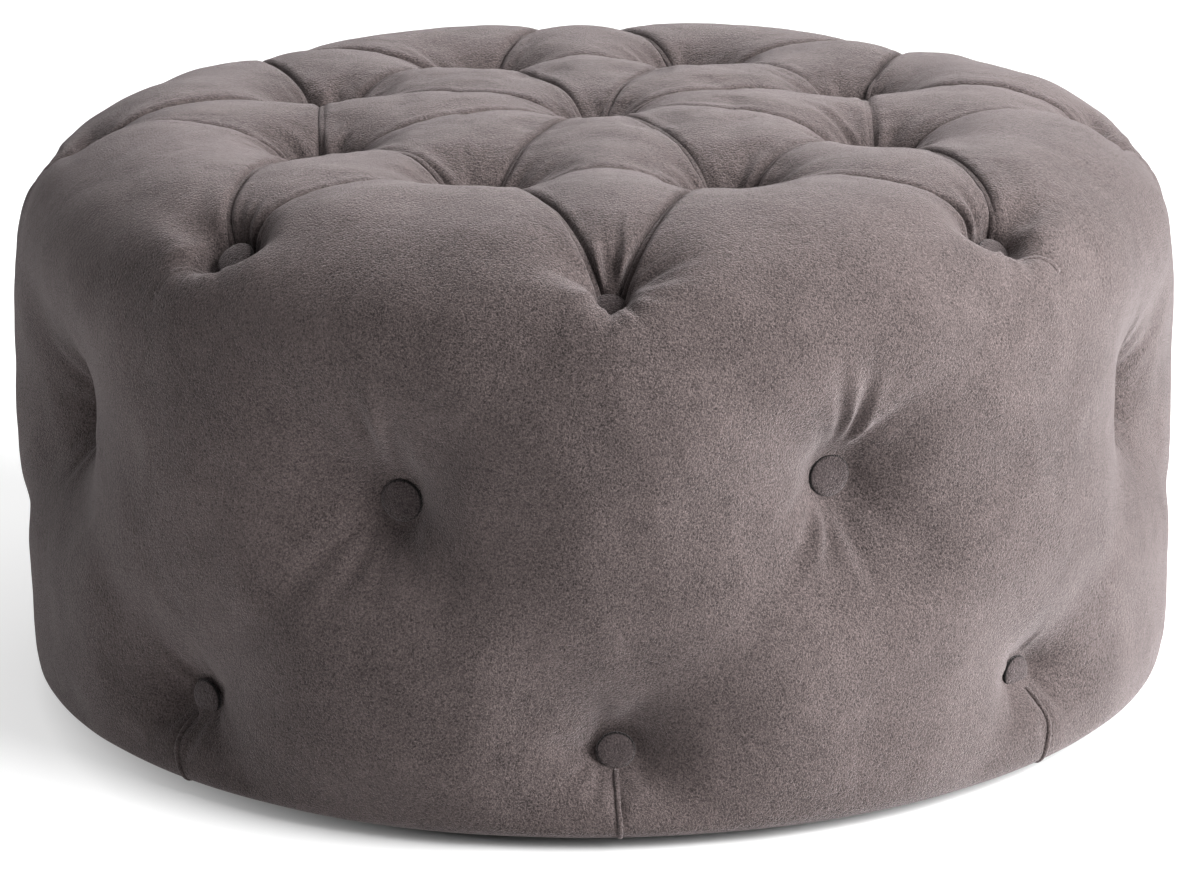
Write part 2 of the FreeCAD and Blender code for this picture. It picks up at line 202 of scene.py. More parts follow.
# Half section of the cover in millimetres: radius and height, crown to hem
SECTION = (
    (0, 401.5), (90, 401.7), (180, 401.5), (250, 400.2), (280, 398.4), (306, 394.8),
    (334, 386.8), (356, 375), (375, 359.8), (388, 340), (394, 314), (397, 285),
    (398.6, 255), (399.3, 220), (401.2, 160), (403.8, 100), (405.2, 62), (404.8, 40),
    (403.6, 26), (401.6, 16), (398, 9), (391.5, 6.2), (384, 7.6), (375, 11), (350, 11),
    (325, 11),
)
# Inside of the cover, from the edge of the hem to the middle of the cavity
LINING = ((325, 14), (383.3, 14), (383.3, 32.3), (340, 32.3), (340, 335), (170, 335))

# Buttons in millimetres: radius and height of the seat, lean above the level
SEATS = {
    "centre": (0, 372, 90), "ring": (205, 345, 90), "rim": (347, 338, 50),
    "middle": (346, 218, 0), "lower": (362, 62, 0),
}
HALF_ROWS = ("ring", "middle")

# How far, in millimetres, the pull of a button is felt along each kind of crease
CREASE_REACH = {"spoke": (26, 46), "octagon": (30, 30), "zigzag": (42, 36)}
# Reach of a crease into each kind of puff, and how far the puff swells
PUFFS = {"star": (24, 4), "fan": (20, 2), "diamond": (14, 2.5)}
# Share and reach of the steep part of the dips round the side, and reach of the rest
DIMPLES = {"middle": (0.05, 9.5, 33), "lower": (0.05, 5, 27)}
# Cloth lies this far above the seat of a side button
SEAT_CLOTH = {"middle": 12, "lower": 9}
# Narrow ring pressed in round a side button: its radius, depth and half width
MOAT = (13.6, 1.6, 1.9)
# Soft valleys from button to button round the side: depth and half width
VALLEY = (3, 25)
# Radius at which distances round the side are measured
SIDE_RADIUS = 392
# How firmly the cloth is held where nothing is sewn down, from 0 to 1
LOOSE = 0.04
# Reach of the funnels that the buttons of the crown pull into it
FUNNELS = {"centre": 24, "ring": 25, "rim": 20}

# How deep a dip may be at each height above the floor, to clear the base board
HEM_CAP = ((6, 0.2), (10, 0.8), (16, 2.5), (25, 6), (33, 10), (44, 20), (56, 38), (72, 90))
# Uneven places of the buttons at the front, in millimetres: to the right and up
NUDGES = {("rim", 5): (8, 3), ("rim", 6): (-3, -2), ("rim", 7): (-1, 0),
          ("middle", 5): (3.5, -3), ("middle", 6): (-5, 8.5), ("lower", 5): (-2, -3),
          ("lower", 6): (-3.3, -3), ("lower", 7): (0, 2.5), ("centre", 0): (1.5, 0)}
# Cloth this near a button moves with it, and what lies beyond follows over this reach
DRAWN_WITHIN, DRAWN_REACH = 14, 48


def turn_of(row, number):
    """Angle of a button round the stool, in radians from +X."""
    return math.radians((STEP / 2 if row in HALF_ROWS else 0) + number * STEP)


def buttons_in(*rows):
    """Row, number and angle of each button in some rows."""
    for row in rows:
        for number in range(1 if row == "centre" else FULL_ROW):
            yield row, number, turn_of(row, number)


def seat_place(row, turn):
    """Middle of a button's even seat, in millimetres."""
    radius, height, _ = SEATS[row]
    return np.array([radius * math.cos(turn), radius * math.sin(turn), height])


def drawn_along(away):
    """Share of a button's uneven place that the cloth takes at a distance."""
    return np.exp(-(np.maximum(away - DRAWN_WITHIN, 0) / DRAWN_REACH) ** 2)


def nudge(row, number):
    """How far a button sits from its even place, in millimetres."""
    turn = turn_of(row, number)
    chance = random.Random(f"place {row}{number}")
    across, up = NUDGES.get((row, number),
                            (chance.uniform(-2.5, 2.5), chance.uniform(-1.5, 1.5)))
    if row in ("centre", "ring"):
        return np.array([across * -math.sin(turn) + up * math.cos(turn),
                         across * math.cos(turn) + up * math.sin(turn), 0])
    return np.array([-across * math.sin(turn), across * math.cos(turn), up])


class Section:
    """The cover's half section, measured along its length."""

    def __init__(self):
        points = np.array(SECTION, float)
        ends = np.vstack([2 * points[:1] - points[1:2], points,
                          2 * points[-1:] - points[-2:-1]])
        line = []
        for a, b, c, d in zip(ends, ends[1:], ends[2:], ends[3:]):
            t = np.linspace(0, 1, 40, endpoint=False)[:, None]
            line.append(0.5 * (2 * b + (c - a) * t + (2 * a - 5 * b + 4 * c - d) * t ** 2
                               + (3 * b - a - 3 * c + d) * t ** 3))
        line = np.vstack(line + [points[-1:]])
        self.line = line
        steps = np.hypot(*np.diff(line, axis=0).T)
        self.along = np.concatenate([[0], np.cumsum(steps)])
        slope = np.gradient(line, self.along, axis=0)
        slope /= np.hypot(*slope.T)[:, None]
        self.normal = np.stack([-slope[:, 1], slope[:, 0]], 1)

    def at(self, along):
        return [np.interp(along, self.along, self.line[:, k]) for k in (0, 1)]

    def facing(self, along):
        return [np.interp(along, self.along, self.normal[:, k]) for k in (0, 1)]

    def nearest(self, radius, height):
        """Distance along the section, and depth, of a point inside the cover."""
        gap = np.hypot(self.line[:, 0] - radius, self.line[:, 1] - height)
        best = int(np.argmin(gap))
        return self.along[best], gap[best]


def smooth_step(share):
    share = np.clip(share, 0, 1)
    return share * share * (3 - 2 * share)


class Plan:
    """The cover's surface laid out flat: distance along the section and turn.

    One sector is an eighth of the stool, mirrored about its rim button.  Its
    mesh has edges along every sewn crease and a corner at every button.
    """

    def __init__(self, section, cells):
        self.section = section
        self.cells = cells
        self.anchors = {}
        for row, (radius, height, _) in SEATS.items():
            self.anchors[row] = section.nearest(radius, height)
        half = math.radians(STEP / 2)
        centre = np.zeros(2)
        ring = self.anchors["ring"][0] * np.array([math.cos(half), math.sin(half)])
        middle = np.array([ring[0], 0.0])
        rim = np.array([self.anchors["rim"][0], 0.0])
        points, quads, self.regions = [], [], []
        for region, corners in (("star", (centre, middle, ring)), ("fan", (middle, rim, ring))):
            self.add_triangle(points, quads, corners)
            self.regions += [region] * (len(quads) - len(self.regions))
        points = np.array(points)
        polar = np.stack([np.hypot(*points.T), np.arctan2(points[:, 1], points[:, 0])], 1)
        lower, faces = self.side(rim, ring, half)
        quads += [tuple(i + len(polar) for i in face) for face in faces]
        self.regions += ["diamond"] * len(faces)
        self.repeat(np.vstack([polar, lower]), quads)

    def add_triangle(self, points, quads, corners):
        """Three patches of a triangle, each cells by cells."""
        corners = np.array(corners)
        heart = corners.mean(0)
        for k in range(3):
            here, after, before = corners[k], corners[(k + 1) % 3], corners[k - 1]
            quad = (here, (here + after) / 2, heart, (here + before) / 2)
            self.add_grid(points, quads, quad)

    def add_grid(self, points, quads, quad):
        n = self.cells
        start = len(points)
        for i in range(n + 1):
            for j in range(n + 1):
                u, v = i / n, j / n
                points.append((1 - u) * (1 - v) * quad[0] + u * (1 - v) * quad[1]
                              + u * v * quad[2] + (1 - u) * v * quad[3])
        for i in range(n):
            for j in range(n):
                a = start + i * (n + 1) + j
                quads.append((a, a + n + 1, a + n + 2, a + 1))

    def side(self, rim, ring, half):
        """Grid from the zigzag crease over the rim and down to the hem."""
        columns = 2 * self.cells
        share = np.linspace(0, 1, columns + 1)
        top = rim + (ring - rim) * share[:, None]
        top_along, top_turn = np.hypot(*top.T), np.arctan2(top[:, 1], top[:, 0])
        crowded = share - 0.55 * np.sin(2 * np.pi * share) / (2 * np.pi)
        low_turn = half * crowded
        levels = self.levels()
        first = self.rows[0]
        rows = []
        for k, level in enumerate(levels):
            if k <= first:
                down = k / first
                down = down + 0.5 * down * (down - 1)
                along = top_along + (levels[first] - top_along) * down
                turn = top_turn + (low_turn - top_turn) * smooth_step(down / 0.8)
            else:
                along = np.full(columns + 1, level)
                turn = low_turn
            rows.append(np.stack([along, turn], 1))
        lower = np.vstack(rows)
        faces = []
        for k in range(len(levels) - 1):
            for i in range(columns):
                a = k * (columns + 1) + i
                faces.append((a, a + columns + 1, a + columns + 2, a + 1))
        return lower, faces

    def levels(self):
        """Distances along the section of the rows of the side's grid."""
        ends = [self.anchors["rim"][0], self.anchors["middle"][0],
                self.anchors["lower"][0], self.section.along[-1]]
        self.rows = [round(self.cells * part) for part in (2.3, 1.3, 1.4)]
        levels = [ends[0]]
        for start, end, count in zip(ends, ends[1:], self.rows):
            levels += list(np.linspace(start, end, count + 1)[1:])
        return levels

    def repeat(self, polar, quads):
        """Copy the half sector round the stool and join the copies."""
        along, turn, faces = [], [], []
        for eighth in range(FULL_ROW):
            for side in (1, -1):
                base = len(along) * len(polar)
                along.append(polar[:, 0])
                turn.append(math.radians(eighth * STEP) + side * polar[:, 1])
                for quad in quads:
                    order = quad if side > 0 else quad[::-1]
                    faces.append([base + i for i in order])
        along, turn = np.concatenate(along), np.concatenate(turn)
        radius, height = self.section.at(along)
        spots = np.stack([radius * np.cos(turn), radius * np.sin(turn), height], 1)
        _, first, joined = np.unique(np.round(spots * 50).astype(int), axis=0,
                                     return_index=True, return_inverse=True)
        faces = joined.reshape(-1)[np.array(faces)]
        self.regions = np.array(self.regions * (2 * FULL_ROW))
        self.along, self.turn = along[first], np.mod(turn[first], 2 * np.pi)
        self.faces = faces


class Cover:
    """Shape of the tufted cover, in millimetres."""

    def __init__(self, cells):
        self.section = Section()
        self.plan = Plan(self.section, cells)
        plan = self.plan
        radius, height = self.section.at(plan.along)
        out, up = self.section.facing(plan.along)
        self.cos, self.sin = np.cos(plan.turn), np.sin(plan.turn)
        self.base = np.stack([radius * self.cos, radius * self.sin, height], 1)
        self.normal = np.stack([out * self.cos, out * self.sin, up], 1)
        self.flat = plan.along[:, None] * np.stack([self.cos, self.sin], 1)
        self.buttons = [(row, turn) for row, _, turn in buttons_in(*ROWS)]
        self.depth = self.relaxed(*self.held())

    def spot(self, row, turn):
        """Place on the untufted surface above a button, and its depth."""
        along, depth = self.plan.anchors[row]
        radius, height = self.section.at(along)
        return np.array([radius * math.cos(turn), radius * math.sin(turn), height]), depth

    def creases(self):
        """Ends of each crease on the flat plan, with the depths of the ends."""
        ring, ring_depth = self.plan.anchors["ring"]
        rim, rim_depth = self.plan.anchors["rim"]
        hub_depth = self.plan.anchors["centre"][1]
        lines = []
        for k in range(FULL_ROW):
            turn = math.radians((k + 0.5) * STEP)
            here = ring * np.array([math.cos(turn), math.sin(turn)])
            after = turn + math.radians(STEP)
            lines.append(("spoke", np.zeros(2), here, hub_depth, ring_depth))
            lines.append(("octagon", here, ring * np.array([math.cos(after), math.sin(after)]),
                          ring_depth, ring_depth))
            for side in (-1, 1):
                edge = turn + side * math.radians(STEP / 2)
                there = rim * np.array([math.cos(edge), math.sin(edge)])
                lines.append(("zigzag", here, there, ring_depth, rim_depth))
        return lines

    @staticmethod
    def well(distance, depth, wide):
        """Depth at a distance from a button along a crease."""
        away = np.maximum(distance - 9, 0)
        return depth * (0.45 * np.exp(-away / 10) + 0.55 * np.exp(-away / wide))

    def held(self):
        """Points that are held down, and how deep."""
        depth = np.full(len(self.flat), np.nan)
        for kind, start, end, first, last in self.creases():
            run = end - start
            length = np.hypot(*run)
            offset = self.flat - start
            along = offset @ run / length
            across = np.abs(offset[:, 0] * run[1] - offset[:, 1] * run[0]) / length
            on = (across < 0.2) & (along > -0.1) & (along < length + 0.1)
            near, far = CREASE_REACH[kind]
            sunk = (self.well(along[on], first, near)
                    + self.well(length - along[on], last, far) + 2.5)
            depth[on] = np.fmax(depth[on], np.minimum(sunk, max(first, last)))
        for row, turn in self.buttons:
            spot, sunk = self.spot(row, turn)
            if row in ("centre", "ring", "rim"):
                near = np.linalg.norm(self.base - spot, axis=1) < 8
                depth[near] = sunk - 0.5
        low = self.plan.along > self.plan.anchors["middle"][0]
        depth[low] = 0
        return ~np.isnan(depth), np.nan_to_num(depth)

    def weights(self):
        """Edges of the mesh with their stiffness, and area and fullness of points."""
        quads = self.plan.faces
        triangles = np.vstack([quads[:, [0, 1, 2]], quads[:, [0, 2, 3]]])
        points = self.base[triangles]
        reach = np.array([PUFFS[name][0] for name in self.plan.regions], float)
        heart = self.base[quads].mean(1)
        for row, turn in self.buttons:
            if row == "rim":
                away = np.linalg.norm(heart - self.spot(row, turn)[0], axis=1)
                tight = (self.plan.regions == "diamond") * np.exp(-(away / 38) ** 2)
                reach *= 1 - 0.55 * tight
        reach = np.tile(reach, 2)
        full = np.tile([PUFFS[name][1] for name in self.plan.regions], 2)
        pairs, stiffness = [], []
        area, fullness = np.zeros((2, len(self.base)))
        for k in range(3):
            tip, left, right = points[:, k], points[:, (k + 1) % 3], points[:, (k + 2) % 3]
            a, b = left - tip, right - tip
            cross = np.linalg.norm(np.cross(a, b), axis=1) + 1e-6
            pairs.append(triangles[:, [(k + 1) % 3, (k + 2) % 3]])
            stiffness.append(0.5 * (a * b).sum(1) / cross * reach ** 2)
            area += np.bincount(triangles[:, k], cross / 6, len(area))
            fullness += np.bincount(triangles[:, k], cross / 6 * full, len(area))
        fade = smooth_step((self.plan.anchors["middle"][0] - self.plan.along) / 120)
        return np.vstack(pairs), np.concatenate(stiffness), area, fullness * fade

    def relaxed(self, fixed, depth):
        """Depth everywhere: a taut skin over full wadding, held at some points."""
        pairs, stiffness, area, fullness = self.weights()
        size = len(area)

        def pull(x):
            flow = stiffness * (x[pairs[:, 0]] - x[pairs[:, 1]])
            return (area * x + np.bincount(pairs[:, 0], flow, size)
                    - np.bincount(pairs[:, 1], flow, size))

        diagonal = (area + np.bincount(pairs[:, 0], stiffness, size)
                    + np.bincount(pairs[:, 1], stiffness, size))
        x = np.where(fixed, depth, 0)
        free = ~fixed
        rest = np.where(free, -fullness - pull(x), 0)
        step = rest / diagonal
        strength = rest @ step
        for _ in range(900):
            moved = np.where(free, pull(step), 0)
            share = strength / (step @ moved)
            x = x + share * step
            rest = rest - share * moved
            scaled = rest / diagonal
            new = rest @ scaled
            if new < 1e-9 * size:
                break
            step = scaled + step * (new / strength)
            strength = new
        return self.funnelled(x) + self.dimples()

    def funnelled(self, depth):
        """Widen the wells of the crown's buttons into soft funnels."""
        crown = smooth_step((self.plan.anchors["rim"][0] + 8 - self.plan.along) / 26)
        sunk = np.maximum(depth, 0)
        for row, turn in self.buttons:
            if row in FUNNELS:
                spot, deep = self.spot(row, turn)
                away = np.maximum(np.linalg.norm(self.base - spot, axis=1) - 9, 0)
                funnel = crown * deep * np.exp(-away / FUNNELS[row])
                wider = (sunk ** 3 + funnel ** 3) ** (1 / 3)
                sunk = np.minimum(wider, np.maximum(sunk, deep - 0.5))
        return np.where(sunk > 0, sunk + np.minimum(depth, 0), depth)

    def dimples(self):
        """Soft dips of the buttons round the side."""
        depth = np.zeros(len(self.base))
        ring, deep, wide = MOAT
        for row, turn in self.buttons:
            if row in DIMPLES:
                spot, sunk = self.spot(row, turn)
                part, near, far = DIMPLES[row]
                gap = np.linalg.norm(self.base - spot, axis=1)
                away = np.maximum(gap - 16, 0)
                away = np.hypot(away, 4) - 4
                away += np.maximum(away - 45, 0) ** 2 / 40
                depth += (sunk - SEAT_CLOTH[row]) * (part * np.exp(-away / near)
                                                     + (1 - part) * np.exp(-away / far))
                depth += deep * np.exp(-((gap - ring) / wide) ** 2)
        return depth + self.valleys()

    def valleys(self):
        """Soft valleys that join the buttons round the side into diamonds."""
        anchors = self.plan.anchors
        deep, wide = VALLEY
        valley = np.zeros(len(self.base))
        for row in ("rim", "lower"):
            run_down = anchors["middle"][0] - anchors[row][0]
            for number in range(FULL_ROW):
                turn = np.mod(self.plan.turn - math.radians(number * STEP) + np.pi,
                              2 * np.pi) - np.pi
                across, down = SIDE_RADIUS * np.abs(turn), self.plan.along - anchors[row][0]
                run = np.array([SIDE_RADIUS * math.radians(STEP / 2), run_down])
                length = np.hypot(*run)
                share = (across * run[0] + down * run[1]) / length ** 2
                side = (across * run[1] - down * run[0]) / length
                ends = smooth_step(share / 0.3) * smooth_step((1 - share) / 0.3)
                valley = np.maximum(valley, ends * np.exp(-(side / wide) ** 2))
        belt = (smooth_step((self.plan.along - anchors["rim"][0]) / 60)
                * smooth_step((anchors["lower"][0] - self.plan.along) / 60))
        return deep * valley - 2.5 * belt

    def pins(self):
        """Share, from 0 to 1, by which each point is held while the cover settles."""
        fixed, _ = self.held()
        share = np.where(fixed, 1.0, LOOSE)
        share[self.plan.along > self.plan.anchors["middle"][0]] = LOOSE
        for row, turn in self.buttons:
            spot, _ = self.spot(row, turn)
            share[np.linalg.norm(self.base - spot, axis=1) < 13] = 1
        edge = smooth_step((self.plan.along - self.plan.section.along[-1] + 110) / 40)
        return np.round(np.maximum(share, edge), 2)

    def shaped(self):
        """Points of the finished outside, in millimetres."""
        cap = np.interp(self.base[:, 2], *np.array(HEM_CAP).T)
        sunk = np.maximum(self.depth, 0)
        depth = np.where(self.depth > 0, sunk / (1 + (sunk / cap) ** 4) ** 0.25, self.depth)
        return self.base - self.normal * depth[:, None]


# Folds in the velvet round each button, as seen from outside: angle from the
# right in degrees, start and length, bend in degrees, height and width
FOLDS = {
    ("middle", 6): ((97, 19, 74, 3, 3.0, 3.9), (81, 21, 66, 4, 3.2, 4.0),
                    (58, 19, 56, -4, 2.6, 4.6), (113, 22, 44, 4, 1.2, 4.4),
                    (20, 20, 40, 0, 0.8, 6.0), (229, 19, 54, -6, 2.8, 4.6),
                    (248, 19, 44, 4, 1.9, 4.2), (277, 22, 50, 6, 1.4, 5.0),
                    (316, 20, 60, 8, 0.9, 6.5), (196, 20, 42, 6, 1.0, 6.0)),
    ("middle", 5): ((101, 28, 60, 4, 2.0, 5.2), (86, 24, 52, -4, 2.2, 4.8),
                    (72, 26, 40, 4, 1.2, 5.0), (142, 24, 40, 0, 0.8, 6.0),
                    (216, 18, 84, 9, 2.2, 6.5), (240, 18, 88, 7, 2.0, 6.0),
                    (266, 20, 50, 0, 1.0, 5.0), (302, 20, 48, -6, 1.1, 5.5),
                    (182, 20, 44, 0, 0.7, 7.0)),
    ("rim", 6): ((84, 12, 62, 4, 2.0, 3.0), (98, 12, 52, -4, 2.2, 2.8),
                 (112, 12, 40, 6, 1.6, 2.8), (70, 12, 44, -6, 1.8, 2.8),
                 (148, 13, 34, 14, 1.6, 3.2), (170, 13, 30, 8, 1.3, 3.0),
                 (32, 13, 44, -10, 1.8, 3.4), (12, 13, 48, -8, 1.6, 3.6),
                 (214, 12, 20, 5, 1.6, 2.4), (262, 12, 16, 0, 1.4, 2.2),
                 (300, 12, 24, 4, 1.2, 2.8), (338, 12, 30, 6, 1.3, 3.2)),
    ("rim", 7): ((96, 13, 50, -5, 2.2, 3.0), (112, 13, 46, 4, 2.0, 3.0),
                 (128, 13, 36, 6, 1.6, 3.0), (78, 13, 38, 0, 1.5, 3.0),
                 (14, 15, 30, 6, 0.9, 3.6),
                 (212, 13, 26, 6, 1.4, 3.0), (244, 13, 20, 0, 1.1, 2.8)),
    ("rim", 5): ((82, 13, 50, 6, 2.0, 3.0), (98, 13, 44, 0, 1.8, 3.0),
                 (60, 13, 36, -6, 1.4, 3.0),
                 (168, 15, 30, -6, 0.6, 4.2), (222, 13, 24, 0, 1.2, 3.0),
                 (318, 13, 28, 6, 1.2, 3.2)),
    ("lower", 6): ((172, 15, 22, 6, 2.2, 3.2), (190, 15, 26, -5, 2.0, 3.2),
                   (152, 16, 20, 6, 1.0, 3.2), (112, 16, 34, 6, 0.9, 5.5),
                   (66, 16, 34, -6, 0.8, 5.5), (236, 15, 26, 0, 2.0, 3.2),
                   (162, 22, 34, 8, 2.4, 3.2), (181, 22, 36, -8, 2.6, 3.2),
                   (204, 17, 30, 6, 2.2, 3.0),
                   (318, 15, 26, 0, 1.0, 4.0)),
}
FOLD_RISE = -1.15
# Wider openings beside rim buttons: to the right, up, reach and depth
HOLLOWS = (("rim", 5, 18, 8, 24, 10), ("rim", 7, -17, 7, 24, 9))
# Short creases that run on from rim buttons: their line to the right and up
TAILS = (
    ("rim", 5, ((12, -14), (2, -13), (-8, -15), (-15, -21), (-20, -31), (-22, -39))),
    ("rim", 7, ((-12, -15), (-3, -16), (5, -19), (11, -25), (15, -33))),
)
# A seam: depth and half width of its groove, height, distance and half width of
# the lips beside it, and height, distance, half width and length of its puckers
GROOVE = (1.9, 2.0)
LIPS = (0.7, 6, 3.5)
PUCKERS = (0.15, 7, 5, 15)
# Gathers under the base board: their number and height
GATHERS = (96, 0.55)
# Distance between the places that are worked out along a drawn line
LINE_STEP = 2.0
# How far some pleats bow to the right between button and hem
PLEAT_SWAY = {5: -9, 7: 8}
# The crown lies this much lower at the back, in millimetres
BACK_SAG = 6
# For the other buttons: number of folds, and their usual length and height
FOLD_FANS = {"centre": (10, 30, 1.2), "ring": (13, 48, 1.5), "rim": (10, 44, 1.6),
             "middle": (9, 44, 1.7), "lower": (7, 28, 1.3)}


def fan_of(row, number):
    """Folds of a button that has no list of its own."""
    count, usual, height = FOLD_FANS[row]
    chance = random.Random(f"{row}{number}")
    folds = []
    for k in range(count):
        angle = 360 * (k + 0.25 * chance.uniform(-1, 1)) / count + 20
        length = usual * chance.uniform(0.6, 1.35)
        folds.append((angle, chance.uniform(13, 16), length, chance.uniform(-9, 9),
                      height * chance.uniform(0.5, 1.4), chance.uniform(2.8, 5)))
    return folds


def ripple(spots, wave, amount, seed):
    """Soft uneven waves of a given length, in millimetres."""
    chance = np.random.default_rng(seed)
    total = np.zeros(len(spots))
    for _ in range(7):
        way = chance.normal(size=3)
        way *= 2 * np.pi / (wave * chance.uniform(0.7, 1.4) * np.linalg.norm(way))
        total += np.sin(spots @ way + chance.uniform(0, 2 * np.pi))
    return amount * total / 2.6


def lengths_along(points):
    """Distance of each point of a line from its start."""
    return np.concatenate([[0], np.cumsum(np.linalg.norm(np.diff(points, axis=0), axis=1))])


def mesh_points(piece):
    """Corners of a piece's mesh, in metres."""
    spots = np.empty(3 * len(piece.data.vertices))
    piece.data.vertices.foreach_get("co", spots)
    return spots.reshape(-1, 3)


class Sculptor:
    """Finer forms on the settled cover, in millimetres."""

    def __init__(self, piece, cover):
        self.piece = piece
        self.cover = cover
        self.keep("plan_base", "FLOAT_VECTOR", cover.base)
        self.keep("plan_along", "FLOAT", cover.plan.along)
        select_only(piece)
        apply_modifier(piece, "SUBSURF", levels=1, render_levels=1)
        self.base = self.read("plan_base", 3)
        self.along = self.read("plan_along", 1)[:, 0]
        self.turn = np.arctan2(self.base[:, 1], self.base[:, 0])
        self.flat = self.along[:, None] * np.stack([np.cos(self.turn), np.sin(self.turn)], 1)
        self.spots = mesh_points(piece) / MM

    def keep(self, name, kind, values):
        attribute = self.piece.data.attributes.new(name, kind, "POINT")
        attribute.data.foreach_set("vector" if kind.endswith("VECTOR") else "value",
                                   np.asarray(values, np.float32).ravel())

    def read(self, name, width):
        attribute = self.piece.data.attributes[name]
        values = np.empty(len(self.piece.data.vertices) * width, np.float32)
        attribute.data.foreach_get("vector" if width == 3 else "value", values)
        values = values.reshape(-1, width).astype(float)
        self.piece.data.attributes.remove(attribute)
        return values

    def facing(self):
        ways = np.empty(3 * len(self.piece.data.vertices), np.float32)
        self.piece.data.vertex_normals.foreach_get("vector", ways)
        return ways.reshape(-1, 3).astype(float)

    def lift(self, height):
        """Move the points out along the cloth's own normals."""
        self.move(self.facing() * height[:, None])

    def move(self, way):
        self.spots = self.spots + way
        self.piece.data.vertices.foreach_set("co", (self.spots * MM).ravel())
        self.piece.data.update()

    def hem_share(self):
        """1 on the side of the stool, 0 where the cloth lies under it."""
        return smooth_step((self.base[:, 2] - 9) / 22)

    def nudged(self):
        """Draw the cloth along to the uneven places of the buttons."""
        way = np.zeros((len(self.spots), 3))
        for row, number, turn in buttons_in(*ROWS):
            away = np.linalg.norm(self.spots - seat_place(row, turn), axis=1)
            way += drawn_along(away)[:, None] * nudge(row, number)
        self.move(way * self.hem_share()[:, None])

    def around_button(self, row, turn):
        """All points seen from outside a button: to the right, up and distance."""
        spot, _ = self.cover.spot(row, turn)
        out, up = self.cover.section.facing(self.cover.plan.anchors[row][0])
        right = np.array([-math.sin(turn), math.cos(turn), 0])
        face = np.array([out * math.cos(turn), out * math.sin(turn), up])
        offset = self.base - spot
        return (offset @ right, offset @ np.cross(face, right),
                np.linalg.norm(offset, axis=1))

    def folds(self):
        """Folds that fan out from every button."""
        height = np.zeros(len(self.base))
        for row, number, turn in buttons_in(*ROWS):
            right, up, away = self.around_button(row, turn)
            near = away < 130
            height[near] += sum(self.fold(right[near], up[near], *fold)
                                for fold in FOLDS.get((row, number)) or fan_of(row, number))
        return height

    @staticmethod
    def fold(right, up, angle, start, length, bend, tall, wide):
        """Height of one fold that runs away from a button."""
        distance = np.hypot(right, up)
        share = (distance - start) / length
        aim = math.radians(angle) + math.radians(bend) * np.clip(share, 0, 1.2)
        offset = distance * np.sin(np.arctan2(up, right) - aim)
        ahead = np.cos(np.arctan2(up, right) - aim) > 0
        spread = wide * (0.95 + 0.7 * np.clip(share, 0, 1.2))
        fade = smooth_step(share / 0.3) * smooth_step((1.15 - share) / 0.9)
        hollow = offset + math.copysign(1.5, bend) * spread
        profile = (np.exp(-(offset / spread) ** 2)
                   - 0.7 * np.exp(-(hollow / (0.85 * spread)) ** 2)
                   - 0.25 * np.exp(-(offset / (2.6 * spread)) ** 2))
        return np.where(ahead, FOLD_RISE * tall * fade * profile, 0)

    def hollows(self):
        """Wider openings beside some rim buttons."""
        height = np.zeros(len(self.base))
        for row, number, across, above, reach, deep in HOLLOWS:
            right, up, away = self.around_button(row, turn_of(row, number))
            gap = np.hypot(right - across, up - above)
            height -= np.where(away < 110, deep * np.exp(-(gap / reach) ** 2), 0)
        return height

    def seams(self):
        """For each crease its kind, and the share and offset of each point."""
        for kind, start, end, _, _ in self.cover.creases():
            run = end - start
            length = np.hypot(*run)
            offset = self.flat - start
            yield (kind, length, offset @ run / length ** 2,
                   (offset[:, 1] * run[0] - offset[:, 0] * run[1]) / length)

    def seam_heights(self):
        """A sewn groove with soft lips and small puckers along each crease."""
        height = np.zeros(len(self.base))
        for kind, length, share, across in self.seams():
            on = smooth_step((share + 0.02) / 0.04) * smooth_step((1.02 - share) / 0.04)
            groove = -GROOVE[0] * np.exp(-(across / GROOVE[1]) ** 2)
            lips = LIPS[0] * np.exp(-((np.abs(across) - LIPS[1]) / LIPS[2]) ** 2)
            tall, beside, wide, wave = PUCKERS
            pucker = (tall * np.sin(share * length * 2 * np.pi / wave + across * 0.12)
                      * np.exp(-((np.abs(across) - beside) / wide) ** 2))
            height += on * (groove + lips + pucker)
        return height

    @staticmethod
    def pleat_place(number, down):
        """How far to the right a pleat lies, at a distance below its button."""
        turn = turn_of("lower", number)
        across = nudge("lower", number) @ (-math.sin(turn), math.cos(turn), 0)
        return (PLEAT_SWAY.get(number, 0) * np.sin(np.clip(down / 52, 0, 1) * np.pi)
                + across * (1 - drawn_along(down)))

    def pleats(self):
        """Grooves of the pleats under the lower buttons and of the short creases."""
        height = np.zeros(len(self.base))
        for row, number, turn in buttons_in("lower"):
            right, up, _ = self.around_button(row, turn)
            near = (np.abs(right) < 40) & (up < 2) & (self.base[:, 2] < 80)
            side = right - self.pleat_place(number, -up)
            groove = -1.5 * np.exp(-(side / 4.5) ** 2)
            fade = smooth_step((-up - 8) / 8)
            height += np.where(near, fade * groove, 0)
        for places, right, up, away in self.tails():
            gap = np.full(len(right), 99.0)
            for across, above in places:
                gap = np.minimum(gap, np.hypot(right - across, up - above))
            height += np.where(away < 70, -1.2 * np.exp(-(gap / 3.6) ** 2), 0)
        return height

    def tails(self):
        """Places along each short crease, with all points as its button sees them."""
        for row, number, path in TAILS:
            path = np.array(path, float)
            along = lengths_along(path)
            wanted = np.arange(0, along[-1], LINE_STEP)
            places = np.stack([np.interp(wanted, along, path[:, k]) for k in range(2)], 1)
            yield (places,) + self.around_button(row, turn_of(row, number))

    @staticmethod
    def closest(near, right, up, across, above):
        """The one of some near points that is closest to each wanted place."""
        gap = np.hypot(right[near] - across[:, None], up[near] - above[:, None])
        return near[gap.argmin(1)]

